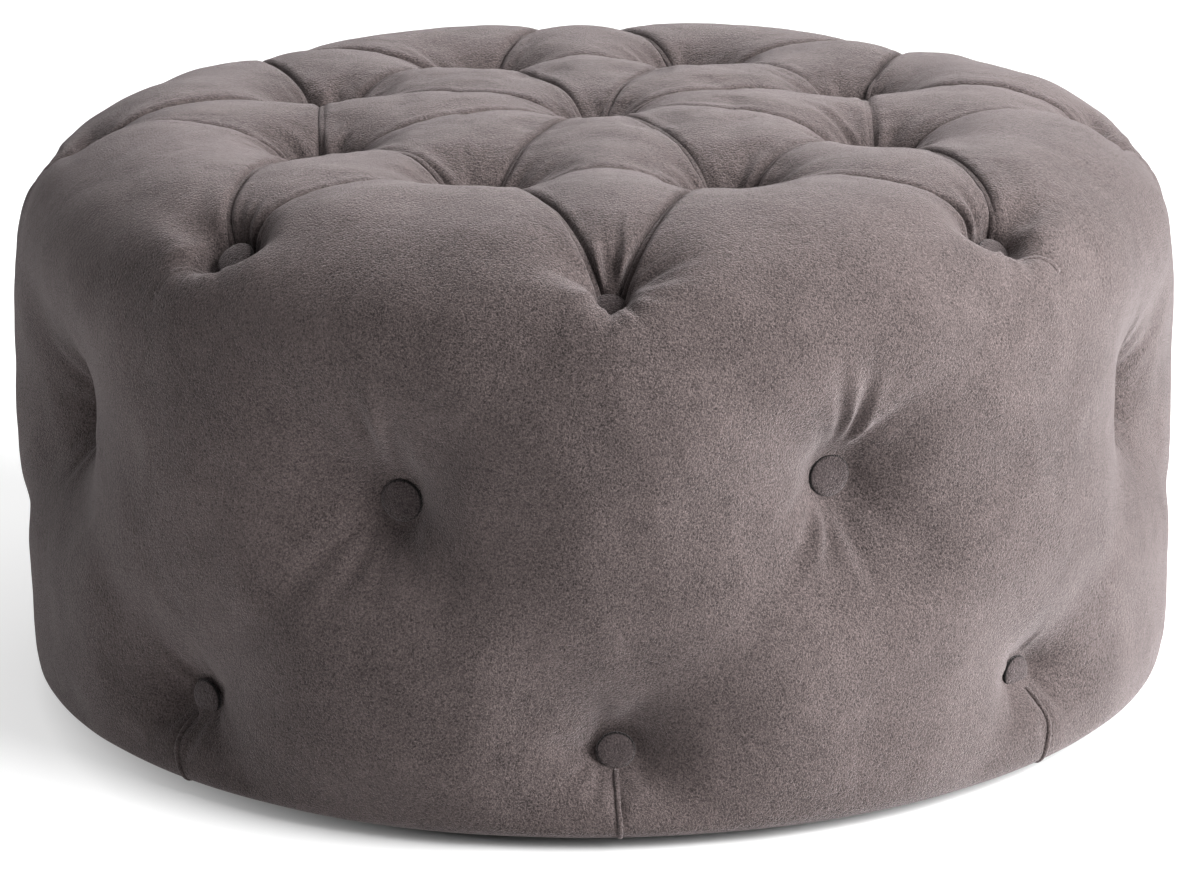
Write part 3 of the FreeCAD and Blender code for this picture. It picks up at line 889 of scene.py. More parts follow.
    def pleat_lines(self):
        """Line of each pleat and short crease, for its folded edge and stitches."""
        facing = self.facing()
        for row, number, turn in buttons_in("lower"):
            right, up, _ = self.around_button(row, turn)
            down = np.arange(12, 60, LINE_STEP)
            wanted = self.pleat_place(number, down)
            outward = (self.base - self.cover.spot(row, turn)[0]) @ (
                math.cos(turn), math.sin(turn), 0)
            near = np.where((np.abs(right) < 20) & (up < -8) & (up > -68)
                            & (outward > -14))[0]
            best = self.closest(near, right, up, wanted, -down)
            across = np.array([-math.sin(turn), math.cos(turn), 0])
            spots = self.spots[best] + np.outer(wanted - right[best], across)
            yield "pleat", np.linspace(0.03, 0.97, len(down)), spots, facing[best]
        for places, right, up, away in self.tails():
            near = np.where((np.hypot(right, up) < 80) & (away < 80))[0]
            best = self.closest(near, right, up, *places.T)
            yield "tail", np.linspace(0.03, 0.97, len(places)), self.spots[best], facing[best]

    def gathers(self):
        """Small gathers where the cloth is drawn under the base board."""
        edge = self.cover.section.along[-1]
        count, tall = GATHERS
        under = (smooth_step((self.along - edge + 60) / 8)
                 * smooth_step((edge - 48 - self.along) / 5))
        wave = (np.sin(self.turn * count + 1.5 * np.sin(self.turn * 7))
                * (0.7 + 0.3 * np.sin(self.turn * 23 + 1)))
        return tall * under * wave

    def sculpt(self):
        share = self.hem_share()
        self.lift(share * (ripple(self.spots, 170, 1.3, 3) + ripple(self.spots, 70, 0.55, 5)))
        self.lift(share * self.hollows())
        self.lift(share * self.folds())
        self.lift(share * (self.seam_heights() + self.pleats()) + self.gathers())
        self.lift(share * ripple(self.spots, 26, 0.16, 11))
        self.nudged()
        back = smooth_step((self.spots[:, 1] + 50) / 330)
        sag = back * smooth_step((self.spots[:, 2] - 270) / 110)
        self.move(np.outer(sag, (0, 0, -BACK_SAG)))

    def seam_lines(self):
        """Points along each crease, with the cloth's direction to each side."""
        facing = self.facing()
        lines = []
        for kind, length, share, across in self.seams():
            on = np.where((np.abs(across) < 0.3) & (share > 0.03) & (share < 0.97))[0]
            on = on[np.argsort(share[on])]
            lines.append((kind, share[on], self.spots[on], facing[on]))
        return lines + list(self.pleat_lines())


def tidy_mesh(name, points, faces):
    """Object with a mesh made of points in millimetres and faces."""
    mesh = bpy.data.meshes.new(name)
    mesh.from_pydata((np.asarray(points) * MM).tolist(), [], [list(map(int, f)) for f in faces])
    mesh.validate()
    piece = bpy.data.objects.new(name, mesh)
    bpy.context.scene.collection.objects.link(piece)
    return piece


def closed_cover(sculptor):
    """Outer points and faces with the inside of the cover added."""
    mesh = sculptor.piece.data
    corners = np.empty(len(mesh.loops), int)
    mesh.loops.foreach_get("vertex_index", corners)
    faces = corners.reshape(-1, 4).tolist()
    edge = np.where(sculptor.along > sculptor.cover.section.along[-1] - 0.01)[0]
    edge = edge[np.argsort(sculptor.turn[edge])]
    turn = sculptor.turn[edge]
    rings, stack = [edge], [sculptor.spots]
    size = len(sculptor.spots)
    for radius, height in LINING:
        stack.append(np.stack([radius * np.cos(turn), radius * np.sin(turn),
                               np.full(len(turn), height)], 1))
        rings.append(np.arange(size, size + len(turn)))
        size += len(turn)
    stack.append(np.array([[0, 0, LINING[-1][1]]]))
    for upper, lower in zip(rings, rings[1:]):
        faces += list(zip(upper, np.roll(upper, -1), np.roll(lower, -1), lower))
    faces += [(a, b, size) for a, b in zip(rings[-1], np.roll(rings[-1], -1))]
    return np.vstack(stack), faces


# Settings of the velvet as cloth, the frames it settles for and how far it may go
CLOTH = {"quality": 5, "mass": 0.3, "tension_stiffness": 15, "compression_stiffness": 15,
         "shear_stiffness": 5, "bending_stiffness": 3, "use_pressure": True,
         "uniform_pressure_force": 2, "shrink_min": -0.004, "pin_stiffness": 1.0,
         "air_damping": 1}
CLOTH_FRAMES = 12
CLOTH_CAP = 0.005


def settle(piece, cover):
    """Let the cover swell like cloth over its wadding, held by its stitching."""
    share = cover.pins()
    group = piece.vertex_groups.new(name="held")
    for value in np.unique(share):
        group.add(np.where(share == value)[0].tolist(), float(value), "REPLACE")
    before = mesh_points(piece)
    select_only(piece)
    bpy.ops.object.modifier_add(type="CLOTH")
    cloth = piece.modifiers[-1]
    for name, value in CLOTH.items():
        setattr(cloth.settings, name, value)
    cloth.settings.vertex_group_mass = "held"
    cloth.settings.effector_weights.gravity = 0
    cloth.collision_settings.use_collision = False
    scene = bpy.context.scene
    for number in range(1, CLOTH_FRAMES + 1):
        scene.frame_set(number)
    bpy.ops.object.modifier_apply(modifier=cloth.name)
    scene.frame_set(1)
    move = mesh_points(piece) - before
    length = np.linalg.norm(move, axis=1)
    move *= np.minimum(1, CLOTH_CAP / np.maximum(length, 1e-9))[:, None]
    piece.data.vertices.foreach_set("co", (before + move).ravel())
    piece.vertex_groups.clear()
    piece.data.update()


def select_only(*pieces):
    bpy.ops.object.select_all(action="DESELECT")
    for piece in pieces:
        piece.select_set(True)
    bpy.context.view_layer.objects.active = pieces[0]


def face_outwards(piece):
    select_only(piece)
    bpy.ops.object.mode_set(mode="EDIT")
    bpy.ops.mesh.select_all(action="SELECT")
    bpy.ops.mesh.normals_make_consistent(inside=False)
    bpy.ops.object.mode_set(mode="OBJECT")


def apply_modifier(piece, kind, **settings):
    """Add a modifier to the active piece and apply it."""
    bpy.ops.object.modifier_add(type=kind)
    modifier = piece.modifiers[-1]
    for name, value in settings.items():
        setattr(modifier, name, value)
    bpy.ops.object.modifier_apply(modifier=modifier.name)


def select_faces(piece, wanted):
    """Select, in edit mode, the faces that pass a test."""
    mesh = bmesh.from_edit_mesh(piece.data)
    for face in mesh.faces:
        face.select = wanted(face)
    bmesh.update_edit_mesh(piece.data)


def shade_smooth(piece):
    select_only(piece)
    bpy.ops.object.shade_smooth()


def dress(piece, material):
    piece.data.materials.clear()
    piece.data.materials.append(material)


def clothe(piece, material):
    """Smooth a piece of cloth whose faces look outwards, and dress it."""
    face_outwards(piece)
    shade_smooth(piece)
    dress(piece, material)


# How far the wadding pushes the buttons of each row outwards, in millimetres
BUTTON_LIFT = {"centre": 0, "ring": 0, "rim": 1, "middle": 10.6, "lower": 8}
# Rim buttons that stand otherwise in their hollows: out, to the right and up
PROUD_BUTTONS = {("rim", 5): (4, 9, 10), ("rim", 6): (-1, -1.5, 0), ("rim", 7): (2, 0, 4)}
# Size of the buttons in rows whose buttons are a little larger or smaller
BUTTON_SIZE = {"middle": 1.1, "lower": 0.98}


def seat_matrix(row, number, turn):
    """Place of a button, its own Z axis pointing out of the stool."""
    out, right, up = PROUD_BUTTONS.get((row, number), (BUTTON_LIFT[row], 0, 0))
    seat = seat_place(row, turn)
    seat += (out * math.cos(turn) - right * math.sin(turn),
             out * math.sin(turn) + right * math.cos(turn), up)
    lean = Matrix.Rotation(math.radians(90 - SEATS[row][2]), 4, "Y")
    return (Matrix.Translation(Vector(seat + nudge(row, number)) * MM)
            @ Matrix.Rotation(turn, 4, "Z") @ lean
            @ Matrix.Scale(BUTTON_SIZE.get(row, 1), 4))


# Finishes


def velvet_finish(name, shade, edge=None):
    """Short velvet: brushed patches, a fine crushed grain and a soft sheen. Where an attribute
    is named, its points are painted near black as painted shade.
    """
    velvet = Finish(name)
    broad = velvet.noise(6.5, detail=3, roughness=0.55, distortion=0.7)
    brushed = velvet.noise(26, detail=3, roughness=0.6, distortion=0.9)
    grain = velvet.noise(820, detail=2, roughness=0.6, distortion=0.6)
    speck = velvet.noise(1100, detail=1, roughness=0.6)
    amount = ((broad - 0.5) * 0.8 + (brushed - 0.5) * 0.6 + (grain - 0.5) * 3.6
              + (speck - 0.5) * 0.8 + 1)
    colour = velvet.tinted(shade, amount.clamped(0.35, 1.9))
    # Painted shadow: where the named attribute is 1 the colour goes near black, the shade round
    # the foot of a button
    if edge:
        near = velvet.add("ShaderNodeAttribute", {"attribute_name": edge}, output=2)
        colour = velvet.mix(near.clamped(0, 1), colour, rgb(0.004, 0.0033, 0.0033))
    nap = velvet.bump(brushed, 0.004, 0.35)
    lift = velvet.bump(grain * 0.8 + speck * 0.3, 0.0016, 1.0, under=nap)
    return velvet.done(colour, 0.88 - (broad - 0.5) * 0.2, lift, specular_ior_level=0.15,
                       sheen_weight=0.4, sheen_roughness=0.35,
                       sheen_tint=rgb(0.80, 0.72, 0.73))


def plywood_finish():
    """Birch plywood: flat grain on its faces, thin plies on its edge."""
    wood = Finish("plywood_birch")
    grain = wood.noise(5, detail=5, roughness=0.65, distortion=1.5,
                       place=wood.stretched((1.5, 22, 1.5)))
    pores = wood.noise(60, detail=3, place=wood.stretched((1, 18, 1)))
    plies = wood.wave(3.6 / 0.018, place=wood.stretched((0, 0, 1)))
    colour = wood.mix((grain - 0.5) * 1.6 + plies * 0.25 + 0.25, rgb(0.50, 0.34, 0.19),
                      rgb(0.68, 0.51, 0.33))
    return wood.done(wood.tinted(colour, 1.08 - pores * 0.2), 0.58 + (pores - 0.5) * 0.2,
                     wood.bump(pores + plies * 0.5, 0.0005, 0.5))


def pine_finish():
    """Sawn pine with its grain along the post."""
    wood = Finish("pine_sawn")
    rings = wood.noise(4, detail=3, distortion=2.2, place=wood.stretched((14, 14, 0.9)))
    fibre = wood.noise(90, detail=3, place=wood.stretched((1, 1, 0.06)))
    colour = wood.mix((rings - 0.35) * 2.6, rgb(0.47, 0.27, 0.12), rgb(0.74, 0.55, 0.32))
    return wood.done(wood.tinted(colour, fibre * 0.25 + 0.88), 0.62 + (fibre - 0.5) * 0.2,
                     wood.bump(fibre, 0.0006, 0.7))


def fibreboard_finish():
    """Brown fibreboard: pressed wood dust with a few long fibres."""
    board = Finish("fibreboard_brown")
    dust = board.noise(420, detail=3, roughness=0.7)
    fibre = board.noise(60, detail=4, roughness=0.6, distortion=2.5)
    colour = board.mix((dust - 0.3) * 1.6, rgb(0.20, 0.12, 0.07), rgb(0.38, 0.25, 0.15))
    return board.done(board.tinted(colour, fibre * 0.5 + 0.75), 0.72 + (dust - 0.5) * 0.2,
                      board.bump(dust + fibre * 0.5, 0.0004, 0.6))


def under_cloth_finish():
    """Black spun cloth, pressed with rows of fine dots."""
    cloth = Finish("black_spun_cloth")
    fibres = cloth.noise(240, detail=4, roughness=0.7, distortion=3)
    clouds = cloth.noise(14, detail=3)
    rows = cloth.wave(420, place=cloth.stretched((1, 0, 0)))
    lines = cloth.wave(420, place=cloth.stretched((0, 1, 0)))
    dots = (rows * lines).above(0.62, 0.12)
    colour = cloth.mix((fibres - 0.25) * 1.2, rgb(0.012, 0.012, 0.013),
                       rgb(0.055, 0.055, 0.058))
    return cloth.done(cloth.tinted(colour, clouds * 0.6 + 0.75 - dots * 0.3),
                      0.85 - dots * 0.3, cloth.bump(fibres * 0.6 - dots, 0.0005, 0.7),
                      sheen_weight=0.15)


def glide_finish():
    """Moulded plastic, dull where it has slid over the floor."""
    plastic = Finish("glide_moulded")
    mould = plastic.noise(900, detail=2)
    rubbed = plastic.noise(50, detail=4, roughness=0.7, distortion=1)
    colour = plastic.mix(rubbed.above(0.55, 0.15), rgb(0.030, 0.028, 0.027),
                         rgb(0.075, 0.071, 0.067))
    return plastic.done(colour, 0.42 + rubbed.above(0.5, 0.2) * 0.3,
                        plastic.bump(mould, 0.0002, 0.5))


def twine_finish():
    """Waxed twine with the slant of its twisted strands."""
    twine = Finish("waxed_twine")
    strands = twine.wave(700, place=twine.stretched((1, 1, 0.8)))
    fuzz = twine.noise(1500, detail=2)
    colour = twine.mix(strands * 0.7 + fuzz * 0.3, rgb(0.35, 0.31, 0.25), rgb(0.72, 0.68, 0.58))
    return twine.done(colour, 0.55 + (fuzz - 0.5) * 0.3,
                      twine.bump(strands + fuzz * 0.4, 0.0004, 0.8))


def toggle_finish():
    """Off-white moulded plastic."""
    plastic = Finish("toggle_moulded")
    cloud = plastic.noise(70, detail=3)
    mould = plastic.noise(1200, detail=2)
    return plastic.done(plastic.mix(cloud, rgb(0.62, 0.60, 0.54), rgb(0.78, 0.76, 0.70)),
                        0.45 + (mould - 0.5) * 0.2, plastic.bump(mould, 0.0002, 0.5))


def thread_finish(shade):
    """Sewing thread, a little lighter than the velvet."""
    thread = Finish("sewing_thread")
    twist = thread.noise(2200, detail=1)
    return thread.done(thread.tinted(shade, twist * 0.8 + 0.7), 0.6,
                       thread.bump(twist, 0.0002, 0.6), sheen_weight=0.2)


def staple_finish():
    """Bright steel wire, a little dulled."""
    steel = Finish("staple_steel")
    dull = steel.noise(180, detail=3)
    return steel.done(steel.mix(dull, rgb(0.42, 0.42, 0.43), rgb(0.62, 0.62, 0.63)),
                      0.28 + dull * 0.25, steel.bump(dull, 0.0002, 0.3), metallic=0.95)


# Finish of the CAD nodes that stay, by a part of their names
NODE_FINISHES = (
    ("base_board", plywood_finish), ("top_board", plywood_finish), ("post_", pine_finish),
    ("drum_wall", fibreboard_finish), ("dust_cover", under_cloth_finish),
    ("glides", glide_finish), ("_twines", twine_finish), ("_toggles", toggle_finish),
)


class FootstoolLooks(bpy.types.PropertyGroup):
    """Sizes and colours of the footstool's looks."""

    thread: bpy.props.FloatVectorProperty(
        name="Thread", description="Colour of the sewing thread", subtype="COLOR",
        size=4, min=0, max=1, default=rgb(0.11, 0.09, 0.09))
    velvet: bpy.props.FloatVectorProperty(
        name="Velvet", description="Colour of the velvet", subtype="COLOR",
        size=4, min=0, max=1, default=rgb(0.0625, 0.0490, 0.0478))
    # Painted shade: the buttons are covered in the cover's velvet, but this colour is darker
    # than it
    button: bpy.props.FloatVectorProperty(
        name="Button velvet", description="Colour of the covered buttons", subtype="COLOR",
        size=4, min=0, max=1, default=rgb(0.042, 0.033, 0.033))
    floor: bpy.props.FloatVectorProperty(
        name="Floor", description="Colour of the floor", subtype="COLOR",
        size=4, min=0, max=1, default=rgb(0.6, 0.6, 0.6))
    cells: bpy.props.IntProperty(
        name="Fineness", description="Cells along a patch of the cover's mesh",
        default=16, min=6, max=32)
    button_radius: bpy.props.FloatProperty(
        name="Button radius", description="Radius of a covered button",
        default=0.0130, unit="LENGTH")
    button_rise: bpy.props.FloatProperty(
        name="Button rise", description="Height of a button above its seat",
        default=0.008, unit="LENGTH")


class FOOTSTOOL_OT_cover(bpy.types.Operator):
    """Make the tufted velvet cover"""

    bl_idname = "footstool.cover"
    bl_label = "Velvet cover"

    def execute(self, context):
        looks = context.scene.footstool
        cover = Cover(looks.cells)
        blank = tidy_mesh("velvet_blank", cover.shaped(), cover.plan.faces)
        face_outwards(blank)
        settle(blank, cover)
        sculptor = Sculptor(blank, cover)
        sculptor.sculpt()
        SEAM_LINES.extend(sculptor.seam_lines())
        piece = tidy_mesh("velvet_skin", *closed_cover(sculptor))
        bpy.data.objects.remove(blank)
        clothe(piece, velvet_finish("velvet", looks.velvet))
        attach(piece, BODY)
        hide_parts("velvet_cover", "foam_side", "foam_top")
        return {"FINISHED"}


# Foot of a button, as shares of its radius and rise, and the rings above the foot:
# how much wider each is than the one under it, and the share of the rise between
BUTTON_FOOT = (0.8, 0.36)
BUTTON_RINGS = ((1.22, 0.0), (1.025, 0.10), (0.995, 0.17), (0.93, 0.14),
                (0.68, 0.11), (0.45, 0.04))


def model_button(looks):
    """One covered button at the origin, facing +Z."""
    radius, rise = looks.button_radius, looks.button_rise
    foot, tall = radius * BUTTON_FOOT[0], rise * BUTTON_FOOT[1]
    bpy.ops.object.select_all(action="DESELECT")
    bpy.ops.mesh.primitive_cylinder_add(vertices=24, radius=foot, depth=tall,
                                        location=(0, 0, tall / 2))
    button = bpy.context.object
    bpy.ops.object.mode_set(mode="EDIT")
    select_faces(button, lambda face: face.normal.z > 0.9)
    for wider, lift in BUTTON_RINGS:
        bpy.ops.mesh.extrude_region_move(
            TRANSFORM_OT_translate={"value": (0, 0, rise * lift)})
        bpy.ops.transform.resize(value=(wider, wider, 1))
    bpy.ops.mesh.poke()
    bpy.ops.object.mode_set(mode="OBJECT")
    apply_modifier(button, "SUBSURF", levels=1, render_levels=1)
    # Points of the foot and of the rim's underside get edge 1: the button velvet paints them
    # near black as the painted shadow round each button
    edge = button.data.attributes.new("edge", "FLOAT", "POINT")
    for point, value in zip(button.data.vertices, edge.data):
        value.value = float(point.co.xy.length > radius * 0.55 and point.co.z < rise * 0.52)
    return button


class FOOTSTOOL_OT_buttons(bpy.types.Operator):
    """Make the rows of covered buttons"""

    bl_idname = "footstool.buttons"
    bl_label = "Covered buttons"

    def execute(self, context):
        looks = context.scene.footstool
        model = model_button(looks)
        # The buttons' velvet is the cover's velvet painted darker as shade, and its edge
        # attribute paints a shadow ring round each button
        cloth = velvet_finish("button_velvet", looks.button, edge="edge")
        for row in ROWS:
            copies = []
            for place in buttons_in(row):
                copy = model.copy()
                copy.data = model.data.copy()
                copy.data.transform(model.matrix_world)
                copy.matrix_world = Matrix.Identity(4)
                copy.data.transform(seat_matrix(*place))
                context.scene.collection.objects.link(copy)
                copies.append(copy)
            select_only(*copies)
            if len(copies) > 1:
                bpy.ops.object.join()
            piece = context.view_layer.objects.active
            piece.name = piece.data.name = f"covered_buttons_{row}"
            clothe(piece, cloth)
            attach(piece, BODY)
            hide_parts(f"{row}_buttons")
        bpy.data.objects.remove(model)
        return {"FINISHED"}


# Distance between the sections of a tuck, in millimetres
TUCK_STEP = 2.5
# Section of the narrow tuck beside a seam, in millimetres: over and above it
TUCK = ((-0.7, -1.8), (-1.1, 1.0), (-0.6, 1.8), (0.5, 2.1), (2.4, 1.8), (4.4, 1.0),
        (5.4, -0.6), (4.6, -1.8))
# The same for the pleats under the lower buttons and for the short creases
SMALL_TUCKS = {
    "pleat": ((-1.6, -3), (-1.7, 0.9), (-1.2, 1.9), (0, 2.2), (1.2, 2.0), (1.6, 1.0),
              (1.5, -3)),
    "tail": ((-1.3, -2.2), (-1.4, 0.3), (-0.9, 0.9), (0.6, 0.9), (2.4, 0.6), (4.2, -0.4),
             (4.0, -2.2)),
}
# Sewing stitches: distance between them, and their place over the seam
STITCH_PITCH = 3.1
STITCH_OVER = -0.5
# Lines of the seams that the cover is sewn with, filled in when it is made
SEAM_LINES = []


def softened(values, times):
    """Values along a line, each evened out with those beside it."""
    for _ in range(times):
        inner = 0.25 * values[:-2] + 0.5 * values[1:-1] + 0.25 * values[2:]
        values = np.vstack([values[:1], inner, values[-1:]])
    return values


def along_seam(share, spots, facing, spacing):
    """Evenly spaced places, directions and normals along a seam."""
    spots, facing = softened(spots, 3), softened(facing, 5)
    along = lengths_along(spots)
    wanted = np.linspace(0, along[-1], max(2, int(along[-1] / spacing)))
    places = np.stack([np.interp(wanted, along, spots[:, k]) for k in range(3)], 1)
    normals = np.stack([np.interp(wanted, along, facing[:, k]) for k in range(3)], 1)
    shares = np.interp(wanted, along, share)
    ways = np.gradient(places, axis=0)
    ways /= np.linalg.norm(ways, axis=1)[:, None] + 1e-9
    normals -= (normals * ways).sum(1)[:, None] * ways
    normals /= np.linalg.norm(normals, axis=1)[:, None] + 1e-9
    return shares, places, ways, normals


def lies_other_way(number, kind):
    """-1 for a seam whose tuck lies to its other side, otherwise 1."""
    return -1 if number % 4 == 3 and kind != "pleat" else 1


def tuck_mesh():
    """Closed narrow bands of velvet, one beside each seam."""
    points, faces = [], []
    for number, (kind, share, spots, facing) in enumerate(SEAM_LINES):
        shares, places, ways, normals = along_seam(share, spots, facing, TUCK_STEP)
        flip = lies_other_way(number, kind)
        side = flip * np.cross(normals, ways)
        rise = np.minimum(1, 12 * np.minimum(shares - 0.02, 0.98 - shares)) ** 0.5
        if kind in SMALL_TUCKS:
            section, width, slope = SMALL_TUCKS[kind], 1, side
        else:
            section, width, slope = TUCK, 0.9, side + 0.35 * normals
            slope /= np.linalg.norm(slope, axis=1)[:, None]
            rise = (0.85 + 0.25 * np.abs(2 * shares - 1) ** 2) * rise
        above = flip * np.cross(ways, slope)
        start, count = len(points), len(section)
        for k in range(len(places)):
            for over, up in section:
                points.append(places[k] + slope[k] * over * width
                              + above[k] * (up * rise[k] if up > 0 else up))
        for k in range(len(places) - 1):
            a, b = start + k * count, start + (k + 1) * count
            for j in range(count):
                after = (j + 1) % count
                faces.append((a + j, a + after, b + after, b + j))
        faces.append(tuple(range(start, start + count)))
        faces.append(tuple(range(len(points) - 1, len(points) - 1 - count, -1)))
    return points, faces


def mesh_copies(name, model, places):
    """One piece made of copies of a model, each put down by its matrix."""
    points = mesh_points(model) / MM
    shape = [tuple(face.vertices) for face in model.data.polygons]
    spots, faces = [], []
    for number, (axes, spot) in enumerate(places):
        spots.append(points @ axes.T + spot)
        faces += [tuple(corner + number * len(points) for corner in face) for face in shape]
    bpy.data.objects.remove(model)
    piece = tidy_mesh(name, np.vstack(spots), faces)
    shade_smooth(piece)
    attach(piece, BODY)
    return piece


def model_stitch():
    """One stitch: a short thread along X whose ends dive into the cloth."""
    bpy.ops.object.select_all(action="DESELECT")
    bpy.ops.mesh.primitive_cylinder_add(vertices=6, radius=0.00036, depth=0.0014,
                                        rotation=(0, math.pi / 2, 0))
    stitch = bpy.context.object
    bpy.ops.object.transform_apply(location=False, rotation=True, scale=False)
    for side in (-1, 1):
        bpy.ops.object.mode_set(mode="EDIT")
        select_faces(stitch, lambda face: face.normal.x * side > 0.9)
        bpy.ops.mesh.extrude_region_move(
            TRANSFORM_OT_translate={"value": (side * 0.0006, 0, -0.0007)})
        bpy.ops.transform.resize(value=(1, 0.7, 0.7))
        bpy.ops.object.mode_set(mode="OBJECT")
    return stitch


def stitch_places():
    """Axes and places of the stitches along every seam."""
    places = []
    for number, (kind, share, spots, facing) in enumerate(SEAM_LINES):
        if kind == "tail":
            continue
        _, spots, ways, normals = along_seam(share, spots, facing, STITCH_PITCH)
        side = lies_other_way(number, kind) * np.cross(normals, ways)
        for spot, way, normal, across in zip(spots, ways, normals, side):
            slant = way + 0.12 * across
            slant /= np.linalg.norm(slant)
            axes = np.stack([slant, np.cross(normal, slant), normal], 1)
            places.append((axes, spot + across * STITCH_OVER + normal * 0.3))
    return places


class FOOTSTOOL_OT_seams(bpy.types.Operator):
    """Make the tucks and the thread of the seams"""

    bl_idname = "footstool.seams"
    bl_label = "Seams"

    def execute(self, context):
        looks = context.scene.footstool
        piece = tidy_mesh("seam_tucks", *tuck_mesh())
        clothe(piece, velvet_finish("tuck_velvet", looks.velvet))
        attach(piece, BODY)
        stitches = mesh_copies("seam_stitches", model_stitch(), stitch_places())
        dress(stitches, thread_finish(looks.thread))
        return {"FINISHED"}


# Staples round the dust cover: their circle, number and height, in millimetres
STAPLES = {"radius": 366, "count": 66, "height": 10}
# A staple: length, width and thickness of its bar in millimetres, and in metres
# where its legs begin, how long they are and how much its edges are rounded
STAPLE_BAR = (10, 0.9, 0.55)
LEG_START, LEG_LENGTH, STAPLE_ROUNDING = 0.0042, 0.002, 0.00018


def model_staple():
    """One staple lying flat under the stool, its legs going up."""
    bpy.ops.object.select_all(action="DESELECT")
    bpy.ops.mesh.primitive_cube_add(size=MM)
    staple = bpy.context.object
    bpy.ops.object.mode_set(mode="EDIT")
    bpy.ops.transform.resize(value=STAPLE_BAR)
    for side in (-1, 1):
        bpy.ops.mesh.select_all(action="SELECT")
        bpy.ops.mesh.bisect(plane_co=(side * LEG_START, 0, 0), plane_no=(1, 0, 0))
        bpy.ops.mesh.select_all(action="DESELECT")
        select_faces(staple, lambda face: face.normal.z > 0.9
                     and face.calc_center_median().x * side > LEG_START)
        bpy.ops.mesh.extrude_region_move(
            TRANSFORM_OT_translate={"value": (0, 0, LEG_LENGTH)})
    bpy.ops.object.mode_set(mode="OBJECT")
    apply_modifier(staple, "BEVEL", width=STAPLE_ROUNDING, segments=1)
    return staple


class FOOTSTOOL_OT_staples(bpy.types.Operator):
    """Make the staples that hold the dust cover"""

    bl_idname = "footstool.staples"
    bl_label = "Staples"

    def execute(self, context):
        chance = random.Random("staples")
        places = []
        for number in range(STAPLES["count"]):
            turn = 2 * math.pi * (number + chance.uniform(-0.15, 0.15)) / STAPLES["count"]
            radius = STAPLES["radius"] + chance.uniform(-1.5, 1.5)
            spot = np.array([radius * math.cos(turn), radius * math.sin(turn),
                             STAPLES["height"] - 0.2])
            lean = turn + math.pi / 2 + chance.uniform(-0.2, 0.2)
            axes = np.array(Matrix.Rotation(lean, 3, "Z"))
            places.append((axes, spot))
        piece = mesh_copies("dust_cover_staples", model_staple(), places)
        dress(piece, staple_finish())
        return {"FINISHED"}


class FOOTSTOOL_OT_frame(bpy.types.Operator):
    """Give the frame, dust cover, glides, twines and toggles their finishes"""

    bl_idname = "footstool.frame"
    bl_label = "Finishes of the frame"

    def execute(self, context):
        made = {}
        for name, node in frame["nodes"].items():
            for part, finish in NODE_FINISHES:
                if part in name:
                    made[finish] = made.get(finish) or finish()
                    dress(node, made[finish])
        return {"FINISHED"}


class FOOTSTOOL_OT_stage(bpy.types.Operator):
    """Make the floor, the light and the camera"""

    bl_idname = "footstool.stage"
    bl_label = "Floor, light and camera"

    def execute(self, context):
        looks = context.scene.footstool
        bpy.ops.object.select_all(action="DESELECT")
        bpy.ops.mesh.primitive_plane_add(size=30, location=(0, 0, FLOOR_LEVEL))
        floor = context.object
        floor.name = floor.data.name = "studio_floor"
        dress(floor, floor_finish(looks.floor))
        world = bpy.data.worlds.new("studio")
        context.scene.world = world
        world.use_nodes = True
        sky = world.node_tree.nodes["Background"]
        sky.inputs["Color"].default_value = rgb(1, 1, 1)
        sky.inputs["Strength"].default_value = SKY_LIGHT
        context.scene.view_settings.view_transform = "Standard"
        for name, place, size, power in LAMPS:
            bpy.ops.object.light_add(type="AREA", location=place)
            lamp = context.object
            lamp.name = lamp.data.name = name
            lamp.data.shape = "RECTANGLE"
            lamp.data.size, lamp.data.size_y = size
            lamp.data.energy = power
            aim = Vector(LAMP_TARGET) - Vector(place)
            lamp.rotation_euler = aim.to_track_quat("-Z", "Y").to_euler()
        bpy.ops.object.camera_add()
        camera = context.object
        camera.name = camera.data.name = "photo_camera"
        camera.data.sensor_width = SENSOR_WIDTH
        camera.data.lens = CAMERA["focal"] * SENSOR_WIDTH / PICTURE_WIDTH
        camera.matrix_world = camera_place()
        context.scene.camera = camera
        return {"FINISHED"}


# Name, place, size and power of each lamp, and where they all point
LAMPS = (
    ("key_light", (2.6, -1.2, 1.75), (2.8, 2.8), 450),
    ("top_light", (0.6, 0.9, 2.8), (2.4, 2.4), 35),
)
LAMP_TARGET = (0, 0, 0.2)
SKY_LIGHT = 0.25
# The floor lies a hair under the glides. It has a painted glow of its own, which begins this
# far from the middle of the stool and is full after this much more, so the floor close to the
# stool is darker as a painted contact shadow
FLOOR_LEVEL = -0.0003
FLOOR_GLOW = 0.6
GLOW_START, GLOW_WIDTH = 0.385, 0.12

# Focal length in pixels of a picture this wide, distances in metres, rise and
# turn in degrees, roll in radians
CAMERA = {"focal": 4220, "distance": 3.0, "rise": 17.1, "beside": 0.0020,
          "target": 0.1438, "roll": -0.008, "turn": -2.1}
PICTURE_WIDTH = 1200
SENSOR_WIDTH = 36


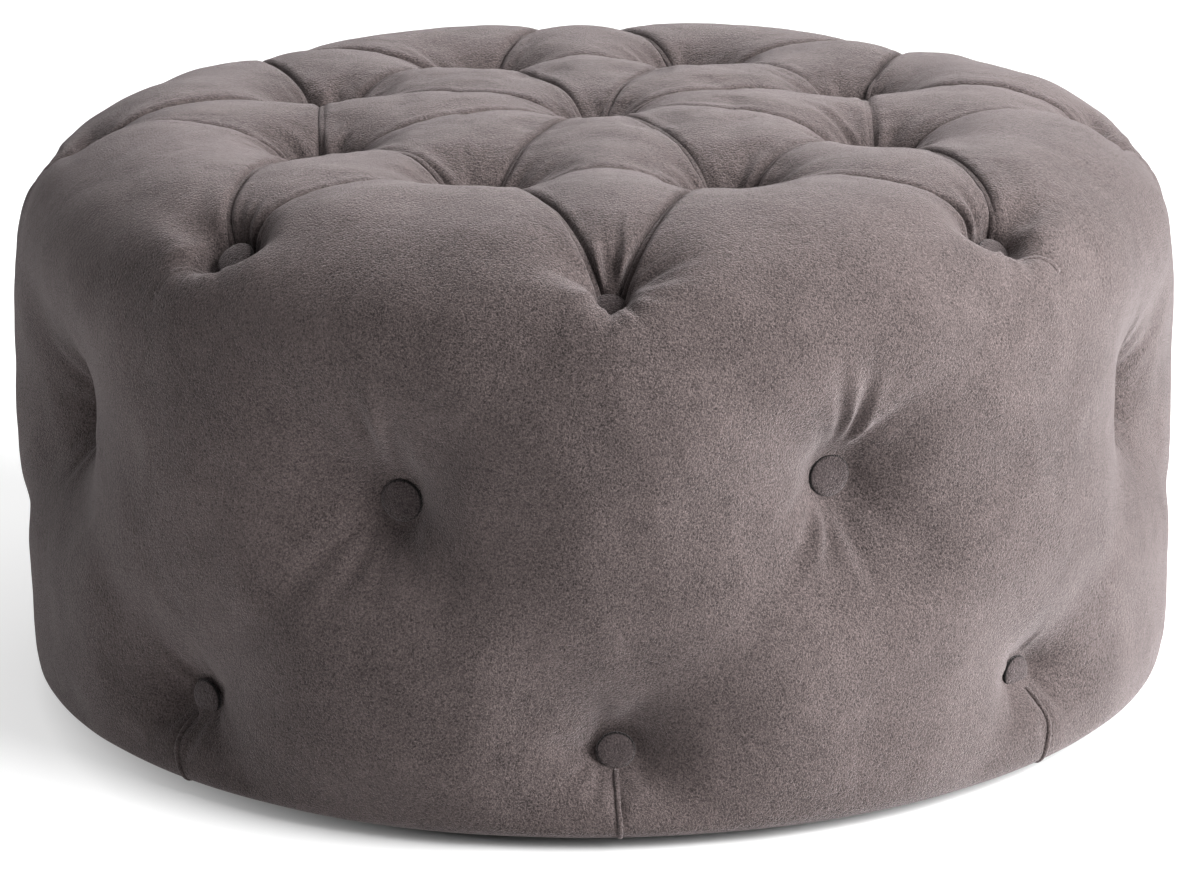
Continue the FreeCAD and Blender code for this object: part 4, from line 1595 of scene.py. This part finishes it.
def floor_finish(shade):
    """Pale matt floor with a faint painted glow, dimmed near the stool as a painted contact
    shadow.
    """
    paint = Finish("floor_paint")
    speck = paint.noise(2, detail=2)
    flat = paint.stretched((1.25, 1, 0))
    away = paint.add("ShaderNodeVectorMath", {"operation": "LENGTH"}, {0: flat}, output=1)
    # Painted contact shadow: no glow close to the stool, full glow from GLOW_START plus
    # GLOW_WIDTH outwards
    beyond = ((away - GLOW_START) / GLOW_WIDTH).clamped(0, 1)
    glow = paint.mix(beyond, rgb(0, 0, 0), rgb(1, 1, 1))
    return paint.done(paint.tinted(shade, (speck - 0.5) * 0.01 + 1), 0.9,
                      emission_color=glow, emission_strength=FLOOR_GLOW)


def camera_place():
    """Matrix of the camera, which looks down at the front from a little aside."""
    rise = math.radians(CAMERA["rise"])
    roll = CAMERA["roll"]
    forward = Vector((0, math.cos(rise), -math.sin(rise)))
    right = Vector((1, 0, 0))
    up = Vector((0, math.sin(rise), math.cos(rise)))
    across = math.cos(roll) * right + math.sin(roll) * up
    upward = -math.sin(roll) * right + math.cos(roll) * up
    spot = Vector((CAMERA["beside"], 0, CAMERA["target"])) - CAMERA["distance"] * forward
    frame_axes = Matrix((across, upward, -forward)).transposed().to_4x4()
    turned = Matrix.Rotation(math.radians(CAMERA["turn"]), 4, "Z")
    return turned @ Matrix.Translation(spot) @ frame_axes


class FOOTSTOOL_PT_panel(bpy.types.Panel):
    """Panel that lists the pieces of the footstool"""

    bl_idname = "FOOTSTOOL_PT_panel"
    bl_label = "Footstool"
    bl_space_type = "VIEW_3D"
    bl_region_type = "UI"
    bl_category = "Footstool"

    def draw(self, context):
        looks = context.scene.footstool
        for name in looks.__annotations__:
            self.layout.prop(looks, name)
        for step in STEPS:
            self.layout.operator(step.bl_idname)


STEPS = (FOOTSTOOL_OT_cover, FOOTSTOOL_OT_seams, FOOTSTOOL_OT_buttons,
         FOOTSTOOL_OT_staples, FOOTSTOOL_OT_frame, FOOTSTOOL_OT_stage)
CLASSES = (FootstoolLooks,) + STEPS + (FOOTSTOOL_PT_panel,)


def register():
    for kind in CLASSES:
        bpy.utils.register_class(kind)
    bpy.types.Scene.footstool = bpy.props.PointerProperty(type=FootstoolLooks)


def unregister():
    del bpy.types.Scene.footstool
    for kind in reversed(CLASSES):
        bpy.utils.unregister_class(kind)


def main():
    register()
    for step in STEPS:
        group, name = step.bl_idname.split(".")
        getattr(getattr(bpy.ops, group), name)()


if __name__ == "__main__":
    main()
